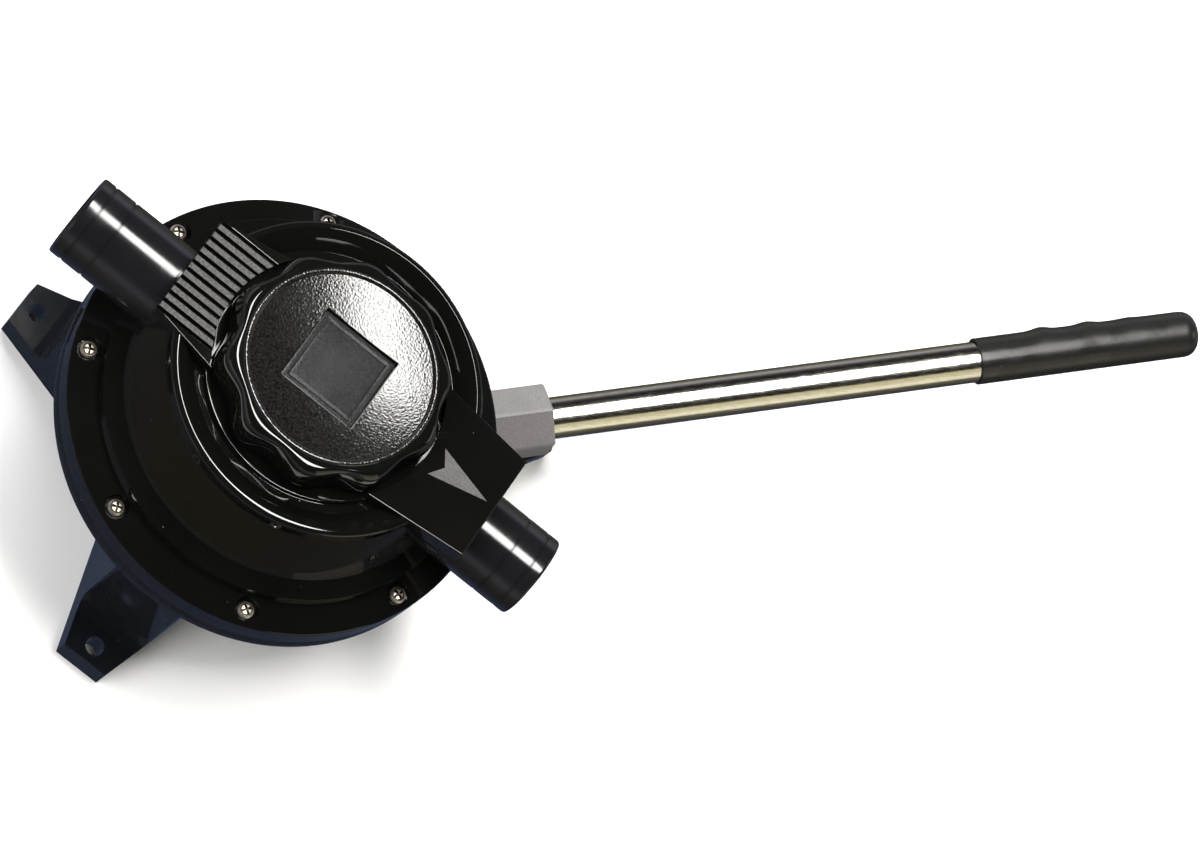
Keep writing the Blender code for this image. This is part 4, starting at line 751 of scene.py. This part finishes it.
panelShape = {"gap": 0.7, "foot": -0.2, "rise": 0.7, "edge": 2.0, "border": 0.9, "slope": 0.25, "deep": 0.4}


def dishHeight(k, radius):  # the grained face is a shallow dish
    return k["dishEdge"] - k["dishDeep"] * (1 - (radius / k["dish"]) ** 2)


def spread(vertex, reach):  # moves a vertex away from the Z axis, reach in mm
    grow = 1 + reach / (vertex.co / mm).xy.length
    vertex.co.x *= grow
    vertex.co.y *= grow


def makeKnob(k):
    dish = [(k["dish"] * share, dishHeight(k, k["dish"] * share)) for share in k["dishShares"]]
    wall = [(radius, height) for radius, height, share in k["rings"]]
    knob = turnPiece("handKnob", [(0, k["inside"])] + wall + dish + [(0, dishHeight(k, 0))], k["sides"])
    shares = {(round(radius, 3), round(height, 3)): share for radius, height, share in k["rings"]}
    for vertex in knob.data.vertices:  # the lobes: each ring swings in and out as far as its own share
        spot = vertex.co / mm
        share = shares.get((round(spot.xy.length, 3), round(spot.z, 3)), 0)
        if share:
            angle = math.atan2(spot.y, spot.x) - math.radians(k["phase"])
            spread(vertex, share * k["lobeDeep"] * math.cos(k["lobes"] * angle))
    half = k["recess"] / 2
    turn = Matrix.Rotation(math.radians(k["recessTurn"]), 4, "Z")
    floor = dishHeight(k, 0) - k["recessDeep"]
    carve(knob, drawPlate("panelCut", oblong(-half, half, -half, half), floor, k["face"] + 3, turn))
    return knob


def makeBlankPanel(k, p):  # a bare tablet with a sunken border in the square recess
    half = k["recess"] / 2 - p["gap"]
    floor = dishHeight(k, 0) - k["recessDeep"]
    panel = drawPlate("blankPanel", oblong(-half, half, -half, half), floor + p["foot"], floor + p["rise"])
    bpy.ops.object.mode_set(mode="EDIT")
    bpy.ops.mesh.select_mode(type="FACE")
    bpy.ops.mesh.select_all(action="DESELECT")
    bpy.ops.object.mode_set(mode="OBJECT")
    for side in panel.data.polygons:
        side.select = side.normal.z > 0.9
    bpy.ops.object.mode_set(mode="EDIT")
    slope, deep = p["slope"], p["deep"]
    for thickness, depth in ((p["edge"], 0), (slope, -deep), (p["border"], 0), (slope, deep)):
        bpy.ops.mesh.inset(thickness=thickness * mm, depth=depth * mm)
    bpy.ops.object.mode_set(mode="OBJECT")
    soften(panel, 0.15, 2, 40)
    return settle(panel, Matrix.Rotation(math.radians(k["recessTurn"]), 4, "Z"))


def onKnobFace(middle, normal):
    return middle.xy.length < knobShape["grainTo"] and middle.z > knobShape["grainFrom"]


knob = weigh(smooth(makeKnob(knobShape), 30))
dress(knob, glossBlack, "knob", ["clamp_knob"])
paintFaces(knob, knobGrain, onKnobFace)
panel = weigh(smooth(makeBlankPanel(knobShape, panelShape), 30))
dress(panel, panelBlack, "knob")


print("lever")

tubeShape = {"radius": 9.3, "bore": 7.8, "start": 27.3, "end": 372.0, "rings": (120, 200, 290), "sides": 96}
gripShape = {
    "radius": 10.4, "bore": 9.6, "start": 273.5, "end": 380.2, "rings": 74, "round": 6.0, "sides": 80,
    "swell": 0.35, "bumpWide": 8.0, "bumps": ((306.6, 1.25), (328.9, 1.05), (349.0, 0.45)),  # place, height
}


def makeTube(t):
    r, bore, start, end = t["radius"], t["bore"], t["start"], t["end"]
    outside = [(r - 0.3, start), (r, start + 0.3)] + [(r, ring) for ring in t["rings"]]
    outside += [(r, end - 0.3), (r - 0.3, end)]
    inside = [(bore, end), (bore, 200), (bore, start)]
    return turnPiece("leverTube", [(bore, start)] + outside + inside, t["sides"], leverPlace @ layDown)


def makeGrip(g):
    r, start, end, count, bend = g["radius"], g["start"], g["end"], g["rings"], g["round"]
    first, last = start + 0.3, end - bend - 0.2
    rings = [(g["bore"], start), (r - 0.25, start), (r, first)]
    rings += [(r, first + i * (last - first) / count) for i in range(1, count + 1)]
    for degrees in (15, 30, 45, 58, 70, 80):
        lean = math.radians(degrees)
        rings.append((r - bend * (1 - math.cos(lean)), end - bend + bend * math.sin(lean)))
    grip = turnPiece("leverGrip", rings + [(0, end)], g["sides"])
    for vertex in grip.data.vertices:  # finger bumps on the +Y side, and a slight swell all along it
        spot = vertex.co / mm
        if spot.xy.length < r - 0.5:
            continue
        side = max(0.0, spot.y / spot.xy.length)
        lift = g["swell"]
        for middle, high in g["bumps"]:
            lift += high * math.exp(-((spot.z - middle) / g["bumpWide"] * 1.7) ** 2)
        fade = min(1.0, max(0.0, (end - 2 - spot.z) / bend))
        spread(vertex, side * side * lift * fade)
    return settle(grip, leverPlace @ layDown)


tube = smooth(makeTube(tubeShape), 30)
dress(tube, tubeSteel, "lever", ["lever_tube"])
grip = smooth(makeGrip(gripShape), 35)
dress(grip, gripVinyl, "lever", ["lever_grip"])


print("frame and rocker")

edgeShape = {"frame": 0.4, "rocker": 0.45, "steps": 3, "sharp": 18, "flat": 1.0}  # mm and degrees
hoopShape = {  # the ring's round outside
    "sides": 176,
    "section": [
        (88.8, 62.96), (90.2, 62.96), (90.54, 63.3), (90.54, 67.46), (95.3, 67.46), (95.75, 67.6),
        (96.02, 68.0), (96.02, 74.3), (95.9, 74.6), (95.6, 74.72), (94.2, 74.72), (94.2, 69.5),
        (88.8, 69.5), (88.8, 62.96),
    ],
}


def fromCad(node, name, width):  # a merged copy of a CAD node with its edges rounded
    pickOnly(nodes[node])
    bpy.ops.object.duplicate()
    piece = bpy.context.object
    piece.name = name
    piece.data.name = name
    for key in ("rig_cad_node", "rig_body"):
        if key in piece:
            del piece[key]
    piece.parent = None
    pickOnly(piece)
    bpy.ops.object.mode_set(mode="EDIT")
    bpy.ops.mesh.select_all(action="SELECT")
    bpy.ops.mesh.remove_doubles(threshold=1e-6)
    bpy.ops.mesh.dissolve_limited(angle_limit=math.radians(edgeShape["flat"]))
    bpy.ops.mesh.normals_make_consistent(inside=False)
    bpy.ops.object.mode_set(mode="OBJECT")
    if piece.data.has_custom_normals:
        bpy.ops.mesh.customdata_custom_splitnormals_clear()
    return soften(piece, width, edgeShape["steps"], edgeShape["sharp"])


stand = weigh(smooth(fromCad("base_frame", "threeFootFrame", edgeShape["frame"]), 31))
dress(stand, frameBlack, "frame", ["base_frame"])
# the ring's outside shares the faintly blue black, partly a painted reflection of blue light from below
hoop = smooth(turnPiece("frameHoop", hoopShape["section"], hoopShape["sides"]), 30)
dress(hoop, frameBlack, "frame")
rocker = weigh(smooth(fromCad("lever_rocker", "socketRocker", edgeShape["rocker"]), 31))
dress(rocker, socketGrey, "lever", ["lever_rocker"])


print("inner pieces")

plainNodes = (  # their CAD shape is right, so they only take a finish
    (rubber, ("cover_seal", "inlet_flap", "outlet_flap")),
    (nylon, ("inlet_retainer", "outlet_retainer", "diaphragm_plate_upper", "diaphragm_plate_lower")),
    (nylon, ("pivot_bush_left", "pivot_bush_right")),
    (brass, ("knob_insert",)),
    (screwSteel, ("clamp_stud", "knob_washer", "plate_stud", "plate_washer", "plate_nut")),
    (screwSteel, ("drive_pin", "drive_pin_clip_left", "drive_pin_clip_right", "pivot_pin", "pivot_clip")),
)
for finish, names in plainNodes:
    for name in names:
        slots = nodes[name].data.materials
        if len(slots) == 0:
            slots.append(finish)
        for i in range(len(slots)):
            slots[i] = finish


print("diaphragm")

sheetShape = {  # (radius, height) in mm; the sheet is cut into equal sectors
    "sectors": 12, "steps": 5, "held": 78.0, "driven": 37.0, "level": 60.0,
    "top": [
        (4.3, 55.1), (36.0, 55.1), (45.0, 56.52), (50.2, 58.6), (55.4, 61.29), (61.3, 64.8), (67.2, 68.37),
        (72.1, 71.74), (76.0, 73.51), (79.3, 74.5), (86.2, 74.5),
    ],
    "under": [
        (86.2, 71.7), (79.3, 71.7), (76.0, 71.31), (72.1, 69.54), (67.2, 66.17), (61.3, 62.6), (55.4, 59.09),
        (50.2, 56.4), (45.0, 54.32), (36.0, 52.9), (4.3, 52.9),
    ],
}


def makeSheetPart(s):
    half = math.pi / s["sectors"]
    section = s["top"] + s["under"]
    part = startCircle("sheetMaster", len(section), 0.01, 0, "NGON")
    for vertex, (radius, level) in zip(part.data.vertices, section):
        vertex.co = (radius * math.cos(half) * mm, -radius * math.sin(half) * mm, level * mm)
    bpy.ops.object.mode_set(mode="EDIT")
    bpy.ops.mesh.select_all(action="SELECT")
    bpy.ops.mesh.spin(steps=s["steps"], angle=-2 * half, center=(0, 0, 0), axis=(0, 0, 1))
    bpy.ops.object.mode_set(mode="OBJECT")
    return smooth(tidyShell(part), 40)


master = makeSheetPart(sheetShape)
for i in range(sheetShape["sectors"]):
    turn = Matrix.Rotation(2 * math.pi * i / sheetShape["sectors"], 4, "Z")
    part = copyPiece(master, f"diaphragmPart{i + 1}", turn)
    dress(part, rubber, None, ["diaphragm"])
    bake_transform(part)
bpy.data.objects.remove(master)


print("floor, light and camera")

lampSet = {  # a long softbox overhead makes the streaks; the cards are only there to be mirrored
    "softbox": {
        "spot": (0.338, 0.222, 1.98), "size": (0.455, 1.31), "power": 49, "colour": (1.0, 0.985, 0.955),
    },
    "duskCard": {
        "spot": (1.215, 0.851, 0.40), "size": (0.9, 0.4), "power": 0.35, "colour": (0.62, 0.60, 1.0),
    },
    "creamCard": {
        "spot": (0.53, -1.42, 0.43), "size": (0.85, 1.35), "power": 2.7, "colour": (1.0, 0.92, 0.62),
    },
    "leftCard": {
        "spot": (-1.5, 0.0, 0.65), "size": (1.0, 0.45), "power": 1.3, "colour": (0.85, 0.90, 1.0),
    },
    "backCard": {
        "spot": (-0.51, 1.41, 0.65), "size": (1.0, 0.45), "power": 1.3, "colour": (0.85, 0.90, 1.0),
    },
    "edgeCard": {
        "spot": (1.35, -0.30, 0.78), "size": (0.5, 0.5), "power": 1.0, "colour": (1.0, 0.97, 0.92),
    },
    "leftFill": {
        "spot": (-1.7, -0.2, 1.5), "size": (1.6, 1.6), "power": 50, "colour": (1.0, 1.0, 1.0),
    },
    "backFill": {
        "spot": (0.5, 1.7, 1.4), "size": (1.6, 1.6), "power": 55, "colour": (1.0, 1.0, 1.0),
    },
}
lampAim = Vector((0.02, 0, 0.1))
roomShades = [  # from straight down to nearly level and up: a dark room, a little blue below
    (0.0, (0.09, 0.118, 0.19)), (0.12, (0.045, 0.052, 0.075)), (0.25, (0.10, 0.09, 0.045)),
    (0.36, (0.16, 0.155, 0.14)), (0.45, (0.36, 0.36, 0.37)), (0.53, (0.42, 0.42, 0.44)),
    (0.65, (0.09, 0.09, 0.10)), (0.74, (0.012, 0.012, 0.013)),
]
photoView = {  # the focal length and the frame's width are in the photograph's pixels
    "focal": 4838, "width": 1200, "sensor": 36, "spot": (-0.7614, -0.4994, 1.9116),
    "across": (0.899, -0.190, 0.395), "back": (-0.43216, -0.22963, 0.87207),
}


def makeLamp(name, lamp):
    light = bpy.data.lights.new(name, "AREA")
    light.shape = "RECTANGLE"
    light.size, light.size_y = lamp["size"]
    light.energy = lamp["power"]
    light.color = lamp["colour"]
    holder = bpy.data.objects.new(name, light)
    bpy.context.scene.collection.objects.link(holder)
    holder.matrix_world = Matrix.Translation(lamp["spot"])
    if name != "softbox":  # that one looks straight down
        aim = lampAim - Vector(lamp["spot"])
        holder.matrix_world @= aim.to_track_quat("-Z", "Y").to_matrix().to_4x4()
    holder.visible_camera = False
    holder.visible_glossy = "Fill" not in name  # the fills only lighten the floor and the grey pieces


def makeCamera(view):
    lens = bpy.data.cameras.new("photoCamera")
    lens.sensor_width = view["sensor"]
    lens.lens = view["focal"] * view["sensor"] / view["width"]
    camera = bpy.data.objects.new("photoCamera", lens)
    bpy.context.scene.collection.objects.link(camera)
    back = Vector(view["back"]).normalized()
    upright = back.cross(Vector(view["across"]).normalized()).normalized()
    turn = Matrix((upright.cross(back), upright, back)).transposed().to_4x4()
    camera.matrix_world = Matrix.Translation(view["spot"]) @ turn
    bpy.context.scene.camera = camera


pickNothing()
bpy.ops.mesh.primitive_plane_add(size=9, location=(0, 0, -0.0002))
floor = bpy.context.object
floor.name = "paperFloor"
floor.data.materials.append(floorPaper)
floor.visible_glossy = False  # the gloss mirrors the dark studio, not the white paper

for name, lamp in lampSet.items():
    makeLamp(name, lamp)

studio = Finish("studio", world=True)
height = studio.node("SeparateXYZ", {}, {"Vector": studio.spot}, "Z")
room = studio.node("ValToRGB", {"stops": roomShades}, {"Fac": height * 0.5 + 0.5})
studio.node("OutputWorld", {}, {"Surface": studio.node("Background", {}, {"Color": room, "Strength": 1.0})})
bpy.context.scene.world = studio.material
bpy.context.scene.view_settings.view_transform = "Standard"
makeCamera(photoView)
